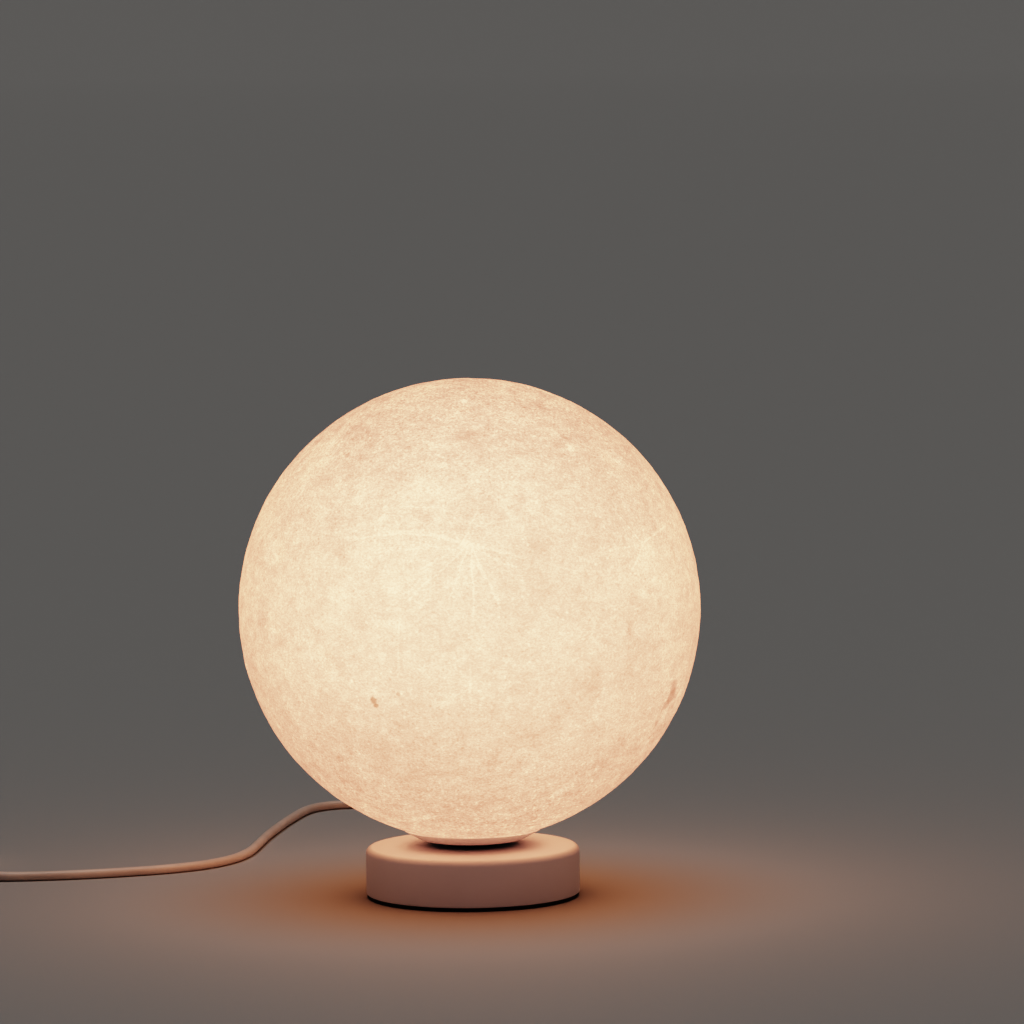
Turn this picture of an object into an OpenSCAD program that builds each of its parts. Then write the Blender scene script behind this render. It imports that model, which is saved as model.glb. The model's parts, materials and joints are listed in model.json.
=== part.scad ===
// Moon globe table lamp: a cratered shell that lifts off a weighted round base,
// with a screw-cap bulb in a lamp holder inside it and a mains lead with an inline switch.
// Origin: centre of the foot's underside. +Z is up, and the lead leaves towards +Y.

/* [Globe] */
// Outside diameter of the moon shell
globe_d = 250; // [235:1:265]
// Thickness of the moon shell
globe_wall = 2.4; // [1.8:0.1:3]
// Diameter of the round mouth at the bottom of the shell
globe_mouth_d = 62; // [60:0.5:64]
// How many craters are pressed into the shell
crater_count = 34; // [0:1:44]
// Depth of the craters at their middle
crater_depth = 0.9; // [0.4:0.1:1.2]

/* [Cup under the globe] */
// Outside diameter of the cup's rim
cup_rim_d = 74.4; // [72:0.2:78]
// Diameter of the cup's flat underside
cup_floor_d = 55.6; // [54:0.2:60]
// Diameter of the hole that fits over the seat's spigot
cup_hole_d = 48; // [46:0.2:50]
// Height of the shell's lowest point above the cup's underside
cup_sink = 1.05; // [0.8:0.05:1.6]
// Thickness of the ring that clamps the shell to the cup
clamp_t = 2.4; // [1.8:0.1:3.2]
// How many screws pull the clamp ring down
clamp_screw_count = 3; // [3:1:6]

/* [Seat and pipe] */
// Height of the gap that shows between the cup and the base
seat_gap = 3.1; // [2.4:0.1:4.5]
// Height of the spigot above the seat's flange
spigot_h = 8; // [6:0.5:10]
// Gap all round between the spigot and the cup's hole
spigot_clearance = 0.4; // [0.3:0.05:0.6]
// How many grip ribs stand on the spigot
grip_rib_count = 6; // [3:1:12]
// Outside diameter of the threaded pipe
pipe_d = 10; // [9:0.1:11]
// Bore of the threaded pipe
pipe_bore_d = 7.4; // [7:0.1:7.8]

/* [Base] */
// Outside diameter of the base
base_d = 116; // [112:1:130]
// Height of the base housing without its foot
base_h = 25.5; // [24.5:0.5:32]
// Radius of the rounded top edge
base_edge_r = 3.4; // [2.6:0.1:4.2]
// Wall of the base housing
base_wall = 2.2; // [1.8:0.1:2.5]
// Thickness of the black foot pad
foot_t = 2; // [1.5:0.1:2.6]
// Thickness of the closing plate
plate_t = 2; // [1.6:0.1:2.4]
// Height of the iron weight
ballast_h = 12; // [8:0.5:14]
// Width of the iron weight's ring
ballast_w = 17.5; // [12:0.5:18]
// How many screws hold the closing plate
plate_screw_count = 4; // [4:4:8]

/* [Lamp holder] */
// Outside diameter of the lamp holder
holder_d = 28; // [27.6:0.2:30]
// Height of the holder's lower cap
holder_cap_h = 17; // [15:0.5:20]
// Height of the holder's skirt above the cap
holder_skirt_h = 35; // [34:0.5:40]
// Wall of the holder's skirt
holder_wall = 1.8; // [1.5:0.1:1.9]

/* [Bulb] */
// Outside diameter of the bulb's screw cap
bulb_cap_d = 13.8; // [13.4:0.1:14]
// Rise of the screw thread in one turn
thread_pitch = 2.82; // [2.6:0.02:3]
// Largest diameter of the bulb
bulb_d = 37; // [34:0.5:40]
// Height of the bulb's plastic housing
bulb_housing_h = 25; // [22:0.5:30]
// Height of the bulb's opal dome
bulb_dome_h = 50; // [44:0.5:56]

/* [Lead] */
// Diameter of the round mains lead
cord_d = 5.2; // [4.8:0.1:5.4]
// Length of the tapered strain relief outside the base
relief_l = 24; // [20:0.5:24]
// Height of the lead's exit above the table
exit_z = 11; // [10.8:0.1:11.6]

/* [Switch] */
// Length of the inline switch
switch_l = 62; // [58:0.5:64]
// Width of the inline switch
switch_w = 26; // [24:0.5:28]
// Height of the inline switch without its rocker
switch_h = 17; // [16:0.5:20]
// Length of the rocker key
rocker_l = 17; // [15:0.5:19]
// Width of the rocker key
rocker_w = 9.5; // [8:0.5:11]
// Tilt of the rocker key to each side
rocker_tilt = 8; // [5:0.5:9]

/* [Plug] */
// Width of the flat two-pin plug
plug_w = 34; // [32:0.5:36]
// Thickness of the plug
plug_t = 14; // [13:0.5:16]
// Length of the plug's body
plug_l = 36; // [32:0.5:38]
// Distance between the plug's pins
pin_spacing = 18.6; // [18:0.1:19.2]
// Diameter of the plug's pins
pin_d = 4; // [3.8:0.1:4.2]
// Length of the plug's pins
pin_l = 19; // [18:0.5:20]

/* [Hidden] */
$fn = 96;

white = [0.93, 0.91, 0.88];
moon = [0.95, 0.89, 0.79];
black = [0.09, 0.09, 0.09];
iron = [0.27, 0.27, 0.28];
steel = [0.74, 0.75, 0.77];
brass = [0.80, 0.65, 0.32];
ceramic = [0.90, 0.89, 0.86];
copper_brown = [0.42, 0.22, 0.12];
wire_blue = [0.15, 0.28, 0.62];

fit = 0.1;                 // gap between rigid pieces that nest
thread_fit = 0.05;         // gap between a shank and the bore that holds it
running = 0.3;             // gap where one piece moves past another
overshoot = 1;             // how far a cutter runs past the face it cuts

// Heights, from the table up
plate_top_z = foot_t + plate_t;
base_top_z = foot_t + base_h;
ceiling_z = base_top_z - base_wall;
cup_z = base_top_z + seat_gap;
seat_z = cup_z - fit;
globe_r = globe_d / 2;
globe_z = cup_z + cup_sink + globe_r;
// Height of the globe's lower surface at distance r from the axis, for a sphere of sphere_r
function shell_h(r, sphere_r) = globe_z - sqrt(sphere_r * sphere_r - r * r);

// Globe and its craters: balls of different sizes pressed in, spread by the golden angle
inner_r = globe_r - globe_wall;
mouth_r = globe_mouth_d / 2;
golden_deg = 137.508;
crater_top = 0.96;         // sine of the latitude of the highest crater
crater_span = 1.80;        // fall of that sine down to the lowest crater
crater_ball_min = 16;
crater_ball_span = 130;
function fraction(x) = x - floor(x);
function crater_lat(i) = asin(crater_top - crater_span * (i + 0.5) / crater_count);
function crater_lon(i) = golden_deg * i;
function crater_ball(i) = crater_ball_min + crater_ball_span * pow(fraction(0.7549 * (i + 1)), 2);
function on_globe(lat, lon, r) = [r * cos(lat) * cos(lon), r * cos(lat) * sin(lon), r * sin(lat)];

// Cup and clamp ring
cup_rim_r = cup_rim_d / 2;
cup_floor_r = cup_floor_d / 2;
cup_hole_r = cup_hole_d / 2;
cup_edge_r = 1.2;          // rounding where the flat underside meets the sloping side
cup_rim_t = 0.8;           // thickness of the rim at its edge
cup_ring_out_r = mouth_r - running;
cup_ring_top_z = shell_h(mouth_r, inner_r);
clamp_z = cup_ring_top_z + fit;
clamp_in_r = cup_hole_r + 1;
clamp_out_r = mouth_r + 5;
clamp_screw_ring_r = (cup_hole_r + cup_ring_out_r) / 2;
clamp_screw_r = 1.1;
clamp_head_r = 2.1;
clamp_head_h = 1.3;
clamp_screw_l = 6;

// Base
base_r = base_d / 2;
base_in_r = base_r - base_wall;
bottom_edge_r = 0.8;
inner_edge_r = max(base_edge_r - base_wall, 0.4);
plate_gap = 0.2;
foot_inset = 0.6;
foot_edge = 0.5;
boss_r = 3.6;
boss_rib_t = 1.6;
boss_rib_h = 13;
plate_boss_ring_r = base_in_r - boss_r - 6;
plate_screw_r = 1.4;
plate_head_r = 2.9;
plate_head_h = 1.5;
plate_screw_l = 12;
ballast_out_r = plate_boss_ring_r - boss_r - 0.8;
ballast_in_r = ballast_out_r - ballast_w;
ballast_edge = 0.8;

// Seat, pipe and nut
pipe_r = pipe_d / 2;
pipe_bore_r = pipe_bore_d / 2;
pipe_hole_r = pipe_r + fit;
pipe_low_z = ceiling_z - 6.5;
pipe_high_z = seat_z + 7.5;
pipe_edge = 0.5;
washer_r = 9;
washer_t = 1;
nut_across = 14;
nut_t = 3.5;
spigot_r = cup_hole_r - spigot_clearance;
spigot_wall = 2;
spigot_edge = 1;
spigot_top_z = seat_z + spigot_h;
flange_r = cup_floor_r - 1.2;
grip_rib_r = 1;
grip_ring_r = cup_hole_r - 0.2 - grip_rib_r;

// Lamp holder
holder_r = holder_d / 2;
holder_z = seat_z;
cap_foot_r = 7.5;
cap_floor_t = 2.2;
cap_top_z = holder_z + holder_cap_h;
nest_h = 4.5;
nest_r = holder_r - holder_wall;
skirt_top_z = cap_top_z + holder_skirt_h;
skirt_in_r = nest_r - 1.2;
skirt_ring_pitch = 3;
skirt_ring_depth = 0.6;
skirt_ring_count = 5;
insert_r = skirt_in_r - fit;
insert_z = cap_top_z - nest_h;
insert_top_z = insert_z + 5.5;
insert_ledge_r = insert_r - 1.4;
lead_hole_x = 5;
lead_hole_depth = 4;
shell_r = bulb_cap_d / 2 + 0.35;
shell_t = 0.3;
shell_wave = 0.45;         // depth of the rolled thread
tower_bore_r = shell_r + shell_wave + shell_t + fit;
tower_r = tower_bore_r + 1.3;
tower_top_z = skirt_top_z - 3;
shell_turns = floor((tower_top_z - insert_top_z - 2) / thread_pitch);
shell_hole_r = 4;
contact_rise = 3.6;
contact_t = 0.4;
contact_w = 3;

// Bulb
bulb_cap_r = bulb_cap_d / 2;
tip_z = insert_top_z + contact_rise + 0.2;
tip_h = 0.8;
tip_r = 2.4;
cap_glass_h = 2.2;
bulb_shell_z = tip_z + tip_h + cap_glass_h;
bulb_shell_top_z = skirt_top_z + 0.4;
bulb_thread_turns = floor((bulb_shell_top_z - bulb_shell_z - 3) / thread_pitch);
bulb_neck_r = bulb_cap_r + 1.7;
housing_z = bulb_shell_top_z + fit;
dome_z = housing_z + bulb_housing_h;
bulb_r = bulb_d / 2;
housing_top_r = bulb_r - 1;
dome_wall = 1.2;
dome_belly_h = bulb_dome_h / 5;
dome_low_axis = 2.4 * dome_belly_h;
dome_foot_deg = asin(dome_belly_h / dome_low_axis);
dome_foot_r = bulb_r * cos(dome_foot_deg);
board_r = dome_foot_r - dome_wall - 0.6;
board_t = 1.2;
chip_count = 8;
chip_size = 3;
chip_t = 0.8;

// Terminal block and the wires inside
block_w = 18;
block_l = 14;
block_h = 11;
block_corner_r = 1.5;
pole_x = 4.5;
pole_hole_r = 1.7;
pole_screw_r = 1.9;
pole_screw_y = 3.6;
pole_screw_h = 3.4;
wire_z = plate_top_z + 5;
core_r = 1;
core_x = 1.6;
wire_sides = 6;

// Strain relief, clamp and the stretch of lead inside the base
cord_r = cord_d / 2;
bush_flange_r = 5.8;
bush_flange_t = 1.6;
bush_neck_r = 4.4;
bush_collar_r = 5.4;
bush_collar_t = 1.8;
relief_tip_r = cord_r + 1.1;
relief_root_r = bush_neck_r;
relief_groove = 0.5;
relief_groove_count = 5;
exit_y = base_r + relief_l;
bush_in_y = sqrt(base_in_r * base_in_r - bush_flange_r * bush_flange_r) - fit;
bush_out_y = base_r + fit;
clamp_bar_w = 22;
clamp_bar_l = 5;
clamp_bar_t = 3;
clamp_bar_y = ballast_out_r + 1.6;
clamp_bar_screw_x = 7.5;
clamp_bar_screw_r = 1.2;
clamp_bar_head_r = 2.2;
clamp_bar_head_h = 1.4;
saddle_top_z = exit_z + cord_r - 0.3;
sheath_end_y = ballast_in_r - 4;
slot_w = cord_d + 3;

// The free lead's route: out of the strain relief, round behind the lamp, forward beside it
// and out to the left, where the switch, the coil of spare lead and the plug lie.
flex_a = [[0, exit_y, exit_z], [0, exit_y + 5, exit_z], [0, 98, 10], [0, 110, 7.6], [-1, 122, 5],
    [-3, 136, 3.2], [-6, 152, cord_r], [-11, 174, cord_r], [-16, 198, cord_r],
    [-22, 224, cord_r], [-28, 250, cord_r],
    [-35, 278, cord_r], [-40, 300, cord_r], [-43, 317, cord_r], [-47, 331, cord_r], [-57, 341, cord_r],
    [-71, 345, cord_r], [-85, 341, cord_r], [-95, 331, cord_r], [-101, 316, cord_r], [-106, 294, cord_r],
    [-111, 269, cord_r], [-115, 245, cord_r], [-119, 220, cord_r], [-122, 196, cord_r], [-125, 171, cord_r],
    [-129, 148, cord_r], [-137, 126, cord_r], [-151, 107, cord_r], [-170, 94, cord_r], [-192, 85, cord_r],
    [-216, 78, cord_r], [-240, 74, cord_r], [-262, 73, 2.9], [-276, 77, 4], [-286, 88, 6],
    [-290, 101, 7.4], [-290, 108, 7.6], [-290, 116, 7.6]];
switch_x = -290;
switch_front_y = 112;
switch_cord_z = 7.6;
switch_back_y = switch_front_y + switch_l;
switch_grip = 4;           // how far the lead reaches into the switch
flex_b = [[-290, switch_back_y - switch_grip, 7.6], [-290, switch_back_y + 1, 7.6],
    [-290, switch_back_y + 6, 7.6], [-294, 193, 6.2], [-303, 203, 4.2], [-317, 207, 3.4],
    [-330, 207.2, 3.5], [-342.8, 207.2, 3.5]];
flex_steps = 2;            // rings from one route point to the next
flex_sides = 10;

// The coil: it spirals in on the table, climbs, and spirals out again on top
coil_at = [-348, 171];
coil_in_r = 21;
coil_pitch = cord_d + 0.6;
coil_rise = cord_d + 0.55;
coil_sides = 6;
coil_rings = 24;           // rings in each turn
coil_start_deg = 90;
coil_half_deg = 945;       // the angle wound in each layer
tie_t = 0.8;
coil_low_z = cord_r + tie_t + fit;
coil_out_r = coil_in_r + coil_pitch * coil_half_deg / 360;
coil_climb = 180;
function smooth_step(t) = let (u = max(0, min(1, t))) u * u * (3 - 2 * u);
function coil_point(a) = let (
    r = coil_in_r + coil_pitch * abs(a - coil_half_deg) / 360,
    climb = smooth_step((a - coil_half_deg + coil_climb / 2) / coil_climb))
    [coil_at[0] + r * cos(coil_start_deg + a), coil_at[1] + r * sin(coil_start_deg + a),
     coil_low_z + coil_rise * climb];
coil_end_z = coil_low_z + coil_rise;
coil_end_x = coil_at[0] - coil_out_r;
coil_end_y = coil_at[1] - cord_d;
coil_path = concat([[coil_at[0] + cord_d, coil_at[1] + coil_out_r, coil_low_z]],
    [for (k = [0:coil_rings * 2 * coil_half_deg / 360]) coil_point(360 * k / coil_rings)],
    [[coil_end_x, coil_end_y, coil_end_z]]);
tie_deg = 315;
tie_w = 5;
tie_slack = 0.3;
tie_out_r = coil_in_r + coil_pitch * 720 / 360;
tie_corner_r = 2.5;

// Plug
plug_x = -384;
plug_relief_y = 140;
plug_relief_l = 20;
plug_back_y = plug_relief_y - plug_relief_l;
plug_face_y = plug_back_y - plug_l;
plug_z = plug_t / 2;
plug_pin_seat = 6;
pin_shank_r = 1.6;         // the part of a pin that the plug's body grips
pin_edge = 0.6;
flex_c = [[coil_end_x, coil_end_y, coil_end_z], [coil_end_x, coil_end_y - 6, 9], [plug_x, 150, 7.6],
    [plug_x, plug_relief_y, plug_z]];

// Switch
switch_wall = 1.8;
switch_corner_r = 9;
switch_split_z = switch_cord_z;
switch_shoulder = 4;       // how much lower the top lies at the two ends
switch_edge = 2;
switch_cavity_top_z = switch_h - 4.5;
pivot_z = switch_h - 3;
pivot_r = 1;
pivot_l = 1.4;
rocker_r = rocker_l / 2;
rocker_rise = 3.6;
rocker_drop = 2;
switch_screw_x = 8;
switch_screw_y = 20;
switch_screw_r = 1;
switch_head_r = 2;
switch_head_h = 1.2;
switch_post_r = 2.6;
stud_r = 1.5;
stud_y = 5;
stud_top_z = pivot_z - rocker_drop - rocker_r * sin(rocker_tilt) - 1;

// Points along an arc, from one angle to another
function arc(centre, r, from, to, steps) =
    [for (k = [0:steps]) let (a = from + (to - from) * k / steps) centre + r * [cos(a), sin(a)]];
function rounded_rect(w, l, r, steps = 6) = concat(
    arc([w / 2 - r, l / 2 - r], r, 0, 90, steps), arc([r - w / 2, l / 2 - r], r, 90, 180, steps),
    arc([r - w / 2, r - l / 2], r, 180, 270, steps), arc([w / 2 - r, r - l / 2], r, 270, 360, steps));

// Route helpers: a smooth curve through the points, and a tube swept along it
X = [1, 0, 0];
Y = [0, 1, 0];
Z = [0, 0, 1];
function unit(v) = v / norm(v);
function at(pts, i) = pts[max(0, min(len(pts) - 1, i))];
function catmull(a, b, c, d, t) = 0.5 * (2 * b + (c - a) * t + (2 * a - 5 * b + 4 * c - d) * t * t
    + (3 * b - a - 3 * c + d) * t * t * t);
function smooth_path(pts, steps) = concat(
    [for (i = [0:len(pts) - 2], k = [0:steps - 1])
        catmull(at(pts, i - 1), at(pts, i), at(pts, i + 1), at(pts, i + 2), k / steps)],
    [at(pts, len(pts) - 1)]);
function path_length(pts, i = 0) =
    i >= len(pts) - 1 ? 0 : norm(pts[i + 1] - pts[i]) + path_length(pts, i + 1);
// The directions along the route; its two ends are square to what they meet
function tangents(pts, start_dir, end_dir) = concat([start_dir],
    [for (i = [1:len(pts) - 2]) unit(pts[i + 1] - pts[i - 1])], [end_dir]);
function across(t) = unit(cross(t, abs(t[2]) > 0.7 ? Y : Z));
function normals(t) = [for (i = 0, n = across(t[0]); i < len(t);
    i = i + 1, n = unit(n - at(t, i) * (n * at(t, i)))) n];

module tube(pts, r, sides, start_dir, end_dir) {
    t = tangents(pts, start_dir, end_dir);
    n = normals(t);
    last = (len(pts) - 1) * sides;
    points = [for (i = [0:len(pts) - 1], k = [0:sides - 1])
        let (a = 360 * k / sides) pts[i] + r * (cos(a) * n[i] + sin(a) * cross(t[i], n[i]))];
    walls = [for (i = [0:sides:last - sides], k = [0:sides - 1])
        let (a = i + k, b = i + (k + 1) % sides) each [[a, a + sides, b + sides], [a, b + sides, b]]];
    caps = [for (k = [1:sides - 2]) each [[0, k, k + 1], [last, last + k + 1, last + k]]];
    polyhedron(points, concat(walls, caps));
}

module ring(r_out, r_in, h) {
    difference() {
        cylinder(r = r_out, h = h);
        translate([0, 0, -overshoot]) cylinder(r = r_in, h = h + 2 * overshoot);
    }
}

module around(count, r, start = 0) {
    for (k = [0:count - 1]) rotate([0, 0, start + 360 * k / count]) translate([r, 0, 0]) children();
}

module along_y(y, z) {
    translate([0, y, z]) rotate([-90, 0, 0]) children();
}

// Globe ---------------------------------------------------------------------

module moon_globe() {
    color(moon) difference() {
        translate([0, 0, globe_z]) sphere(r = globe_r, $fn = 128);
        translate([0, 0, globe_z]) sphere(r = inner_r, $fn = 128);
        cylinder(r = mouth_r, h = globe_z);
        if (crater_count > 0) for (i = [0:crater_count - 1]) crater(i);
    }
}

module crater(i) {
    ball = crater_ball(i);
    at_centre = on_globe(crater_lat(i), crater_lon(i), globe_r - crater_depth + ball);
    translate([0, 0, globe_z] + at_centre) sphere(r = ball);
}

// The shell's lower surface with a gap under it, as outline points from r_in out to r_out
function under_shell(r_in, r_out, sphere_r, gap, steps) =
    [for (k = [0:steps]) let (r = r_in + (r_out - r_in) * k / steps) [r, shell_h(r, sphere_r) + gap]];

module globe_cup() {
    seat = under_shell(cup_ring_out_r, cup_rim_r, globe_r, -fit, 6);
    rim_z = seat[len(seat) - 1][1];
    slope = atan2(rim_z - cup_rim_t - cup_z, cup_rim_r - cup_floor_r);
    color(white) difference() {
        rotate_extrude() polygon(concat(
            [[cup_hole_r, cup_z]],
            arc([cup_floor_r - cup_edge_r * tan(slope / 2), cup_z + cup_edge_r],
                cup_edge_r, -90, slope - 90, 4),
            [[cup_rim_r, rim_z - cup_rim_t]],
            [for (k = [len(seat) - 1:-1:0]) seat[k]],
            [[cup_ring_out_r, cup_ring_top_z], [cup_hole_r, cup_ring_top_z]]));
        around(clamp_screw_count, clamp_screw_ring_r)
            translate([0, 0, cup_ring_top_z - clamp_screw_l + clamp_t - fit])
            cylinder(r = clamp_screw_r + thread_fit, h = clamp_screw_l + overshoot, $fn = 24);
    }
}

module globe_clamp_ring() {
    grip = under_shell(mouth_r + fit, clamp_out_r, inner_r, fit, 4);
    color(black) difference() {
        rotate_extrude() polygon(concat(
            [[clamp_in_r, clamp_z]], grip,
            [[clamp_out_r, grip[4][1] + clamp_t - 0.8], [mouth_r, clamp_z + clamp_t],
             [clamp_in_r, clamp_z + clamp_t]]));
        around(clamp_screw_count, clamp_screw_ring_r) translate([0, 0, clamp_z - overshoot])
            cylinder(r = clamp_screw_r + fit, h = clamp_t + 2 * overshoot, $fn = 24);
    }
}

module clamp_ring_screws() {
    top = clamp_z + clamp_t;
    color(steel) around(clamp_screw_count, clamp_screw_ring_r) {
        translate([0, 0, top - clamp_screw_l])
            cylinder(r = clamp_screw_r, h = clamp_screw_l + 0.2, $fn = 24);
        difference() {
            translate([0, 0, top]) screw_head(clamp_head_r, clamp_head_h);
            cross_slot(top + clamp_head_h, clamp_head_r * 1.2);
        }
    }
}

// A low screw head, slightly narrower at its top
module screw_head(r, h) {
    cylinder(r1 = r, r2 = r - 0.5, h = h, $fn = 24);
}

module cross_slot(top, l) {
    slot = 0.5;
    depth = 0.6;
    for (a = [0, 90]) rotate([0, 0, a]) translate([-l / 2, -slot / 2, top - depth])
        cube([l, slot, depth + overshoot]);
}

// Base ----------------------------------------------------------------------

module base_housing() {
    color(white) difference() {
        union() {
            difference() {
                rotate_extrude() polygon(concat([[0, foot_t]],
                    arc([base_r - bottom_edge_r, foot_t + bottom_edge_r], bottom_edge_r, -90, 0, 4),
                    arc([base_r - base_edge_r, base_top_z - base_edge_r], base_edge_r, 0, 90, 8),
                    [[0, base_top_z]]));
                rotate_extrude() polygon(concat([[0, foot_t - overshoot], [base_in_r, foot_t - overshoot]],
                    arc([base_in_r - inner_edge_r, ceiling_z - inner_edge_r], inner_edge_r, 0, 90, 4),
                    [[0, ceiling_z]]));
            }
            around(plate_screw_count, plate_boss_ring_r, 45) screw_boss();
        }
        translate([0, 0, ceiling_z - overshoot]) cylinder(r = pipe_hole_r, h = base_wall + 2 * overshoot);
        around(plate_screw_count, plate_boss_ring_r, 45) translate([0, 0, foot_t])
            cylinder(r = plate_screw_r + thread_fit, h = plate_screw_l + 2, $fn = 32);
        along_y(base_in_r - overshoot, exit_z)
            cylinder(r = bush_neck_r + fit, h = base_wall + 2 * overshoot, $fn = 48);
    }
}

module screw_boss() {
    translate([0, 0, plate_top_z + fit]) cylinder(r = boss_r, h = ceiling_z - plate_top_z, $fn = 48);
    translate([0, -boss_rib_t / 2, ceiling_z - boss_rib_h])
        cube([base_in_r - plate_boss_ring_r + base_wall / 2, boss_rib_t, boss_rib_h + base_wall / 2]);
}

module seat_collar() {
    color(black) {
        rotate_extrude() polygon([[pipe_hole_r, base_top_z], [flange_r, base_top_z], [flange_r, seat_z],
            [spigot_r, seat_z], [spigot_r, spigot_top_z - spigot_edge],
            [spigot_r - spigot_edge, spigot_top_z],
            [spigot_r - spigot_wall, spigot_top_z], [spigot_r - spigot_wall, seat_z], [pipe_hole_r, seat_z]]);
        around(grip_rib_count, grip_ring_r, 30) translate([0, 0, seat_z - seat_gap / 2])
            cylinder(r = grip_rib_r, h = seat_gap / 2 + spigot_h - 2 * spigot_edge, $fn = 24);
    }
}

module ballast_ring() {
    z0 = plate_top_z;
    z1 = plate_top_z + ballast_h;
    color(iron) difference() {
        rotate_extrude() polygon([[ballast_in_r, z0], [ballast_out_r, z0], [ballast_out_r, z1 - ballast_edge],
            [ballast_out_r - ballast_edge, z1], [ballast_in_r + ballast_edge, z1],
            [ballast_in_r, z1 - ballast_edge]]);
        translate([-slot_w / 2, 0, z0 - overshoot])
            cube([slot_w, ballast_out_r + overshoot, ballast_h + 2 * overshoot]);
    }
}

module base_plate() {
    color(black) difference() {
        union() {
            translate([0, 0, foot_t]) cylinder(r = base_in_r - plate_gap, h = plate_t);
            translate([-clamp_bar_w / 2, clamp_bar_y, foot_t + plate_t / 2])
                cube([clamp_bar_w, clamp_bar_l, saddle_top_z - foot_t - plate_t / 2]);
        }
        around(plate_screw_count, plate_boss_ring_r, 45) {
            translate([0, 0, foot_t - fit]) countersink(2 * fit, plate_head_h + fit);
            translate([0, 0, foot_t])
                cylinder(r = plate_screw_r + 2 * fit, h = plate_t + overshoot, $fn = 32);
        }
        along_y(clamp_bar_y - overshoot, exit_z)
            cylinder(r = cord_r + thread_fit, h = clamp_bar_l + 2 * overshoot);
        translate([-cord_r - thread_fit, clamp_bar_y - overshoot, exit_z])
            cube([2 * (cord_r + thread_fit), clamp_bar_l + 2 * overshoot, cord_d]);
        clamp_bar_screws_at() translate([0, 0, plate_top_z + 1])
            cylinder(r = clamp_bar_screw_r + thread_fit, h = saddle_top_z, $fn = 24);
    }
}

// The plate screws' countersunk head, or with a gap the hole for it
module countersink(gap, h) {
    cylinder(r1 = plate_head_r + gap, r2 = plate_screw_r + gap, h = h, $fn = 32);
}

module foot_pad() {
    r = base_r - foot_inset;
    color(black) rotate_extrude()
        polygon([[0, 0], [r - foot_edge, 0], [r, foot_edge], [r, foot_t], [0, foot_t]]);
}

module base_plate_screws() {
    head_z = foot_t + fit / 2;
    color(steel) around(plate_screw_count, plate_boss_ring_r, 45) difference() {
        union() {
            translate([0, 0, head_z]) countersink(0, plate_head_h);
            translate([0, 0, head_z + plate_head_h - 0.2])
                cylinder(r = plate_screw_r, h = plate_screw_l - plate_head_h, $fn = 32);
        }
        translate([0, 0, foot_t - 0.4]) mirror([0, 0, 1]) cross_slot(-0.4, plate_head_r);
    }
}

// Pipe that joins the seat and the holder to the base -----------------------

module threaded_pipe() {
    color(steel) rotate_extrude() polygon([[pipe_bore_r, pipe_low_z], [pipe_r - pipe_edge, pipe_low_z],
        [pipe_r, pipe_low_z + pipe_edge], [pipe_r, pipe_high_z - pipe_edge],
        [pipe_r - pipe_edge, pipe_high_z],
        [pipe_bore_r, pipe_high_z]]);
}

module pipe_nut() {
    nut_r = nut_across / sqrt(3);
    z = ceiling_z - washer_t - nut_t;
    color(brass) difference() {
        intersection() {
            translate([0, 0, z]) cylinder(r = nut_r, h = nut_t, $fn = 6);
            translate([0, 0, z]) cylinder(r1 = nut_r - 0.6, r2 = nut_r + nut_t, h = nut_t);
        }
        translate([0, 0, z - overshoot]) cylinder(r = pipe_r + thread_fit, h = nut_t + 2 * overshoot);
    }
}

module pipe_washer() {
    color(steel) translate([0, 0, ceiling_z - washer_t]) ring(washer_r, pipe_hole_r, washer_t);
}

// Mains connection inside the base -----------------------------------------

module terminal_block() {
    color(ceramic) difference() {
        translate([0, 0, plate_top_z]) linear_extrude(block_h)
            polygon(rounded_rect(block_w, block_l, block_corner_r, 3));
        for (x = [-pole_x, pole_x]) {
            translate([x, 0, 0]) along_y(-block_l, wire_z)
                cylinder(r = pole_hole_r, h = 2 * block_l, $fn = 32);
            for (y = [-pole_screw_y, pole_screw_y]) translate([x, y, wire_z])
                cylinder(r = pole_screw_r + fit, h = block_h, $fn = 32);
        }
        translate([-0.8, -block_l, plate_top_z + block_h - 3]) cube([1.6, 2 * block_l, 3 + overshoot]);
    }
}

module terminal_screws() {
    top = plate_top_z + block_h - 0.8;
    color(brass) for (x = [-pole_x, pole_x], y = [-pole_screw_y, pole_screw_y])
        translate([x, y, 0]) difference() {
            translate([0, 0, top - pole_screw_h]) cylinder(r = pole_screw_r, h = pole_screw_h, $fn = 32);
            translate([-pole_screw_r * 2, -0.3, top - 0.9]) cube([pole_screw_r * 4, 0.6, 2]);
        }
}

// One insulated wire from the terminal block up the pipe to the holder's insert
function lead_route(s) = [[s * pole_x, -1, wire_z], [s * pole_x, -6.5, wire_z],
    [s * pole_x, -10, wire_z + 0.6], [s * pole_x, -12.5, wire_z + 3.4], [s * 4, -11, wire_z + 7],
    [s * 3, -6.5, wire_z + 8.4],
    [s * 1.5, -1.6, pipe_low_z - 1.2], [s * 1.3, 0, pipe_low_z + 4], [s * 1.3, 0, seat_z],
    [s * 1.4, 0, pipe_high_z + 0.6], [s * 4.2, 0, insert_z - 2], [s * lead_hole_x, 0, insert_z + 0.5],
    [s * lead_hole_x, 0, insert_z + lead_hole_depth - 0.4]];

module live_lead() {
    color(copper_brown) tube(smooth_path(lead_route(1), 2), core_r, wire_sides, -Y, Z);
}

module neutral_lead() {
    color(wire_blue) tube(smooth_path(lead_route(-1), 2), core_r, wire_sides, -Y, Z);
}

module supply_cores() {
    color(copper_brown) for (s = [-1, 1]) tube(smooth_path([[s * core_x, sheath_end_y, exit_z],
        [s * core_x, sheath_end_y - 2, exit_z], [s * 3, 13.5, wire_z + 1.2], [s * pole_x, 9, wire_z],
        [s * pole_x, 1, wire_z]], 2), core_r, wire_sides, -Y, -Y);
}

// Where the lead enters the base --------------------------------------------

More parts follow.
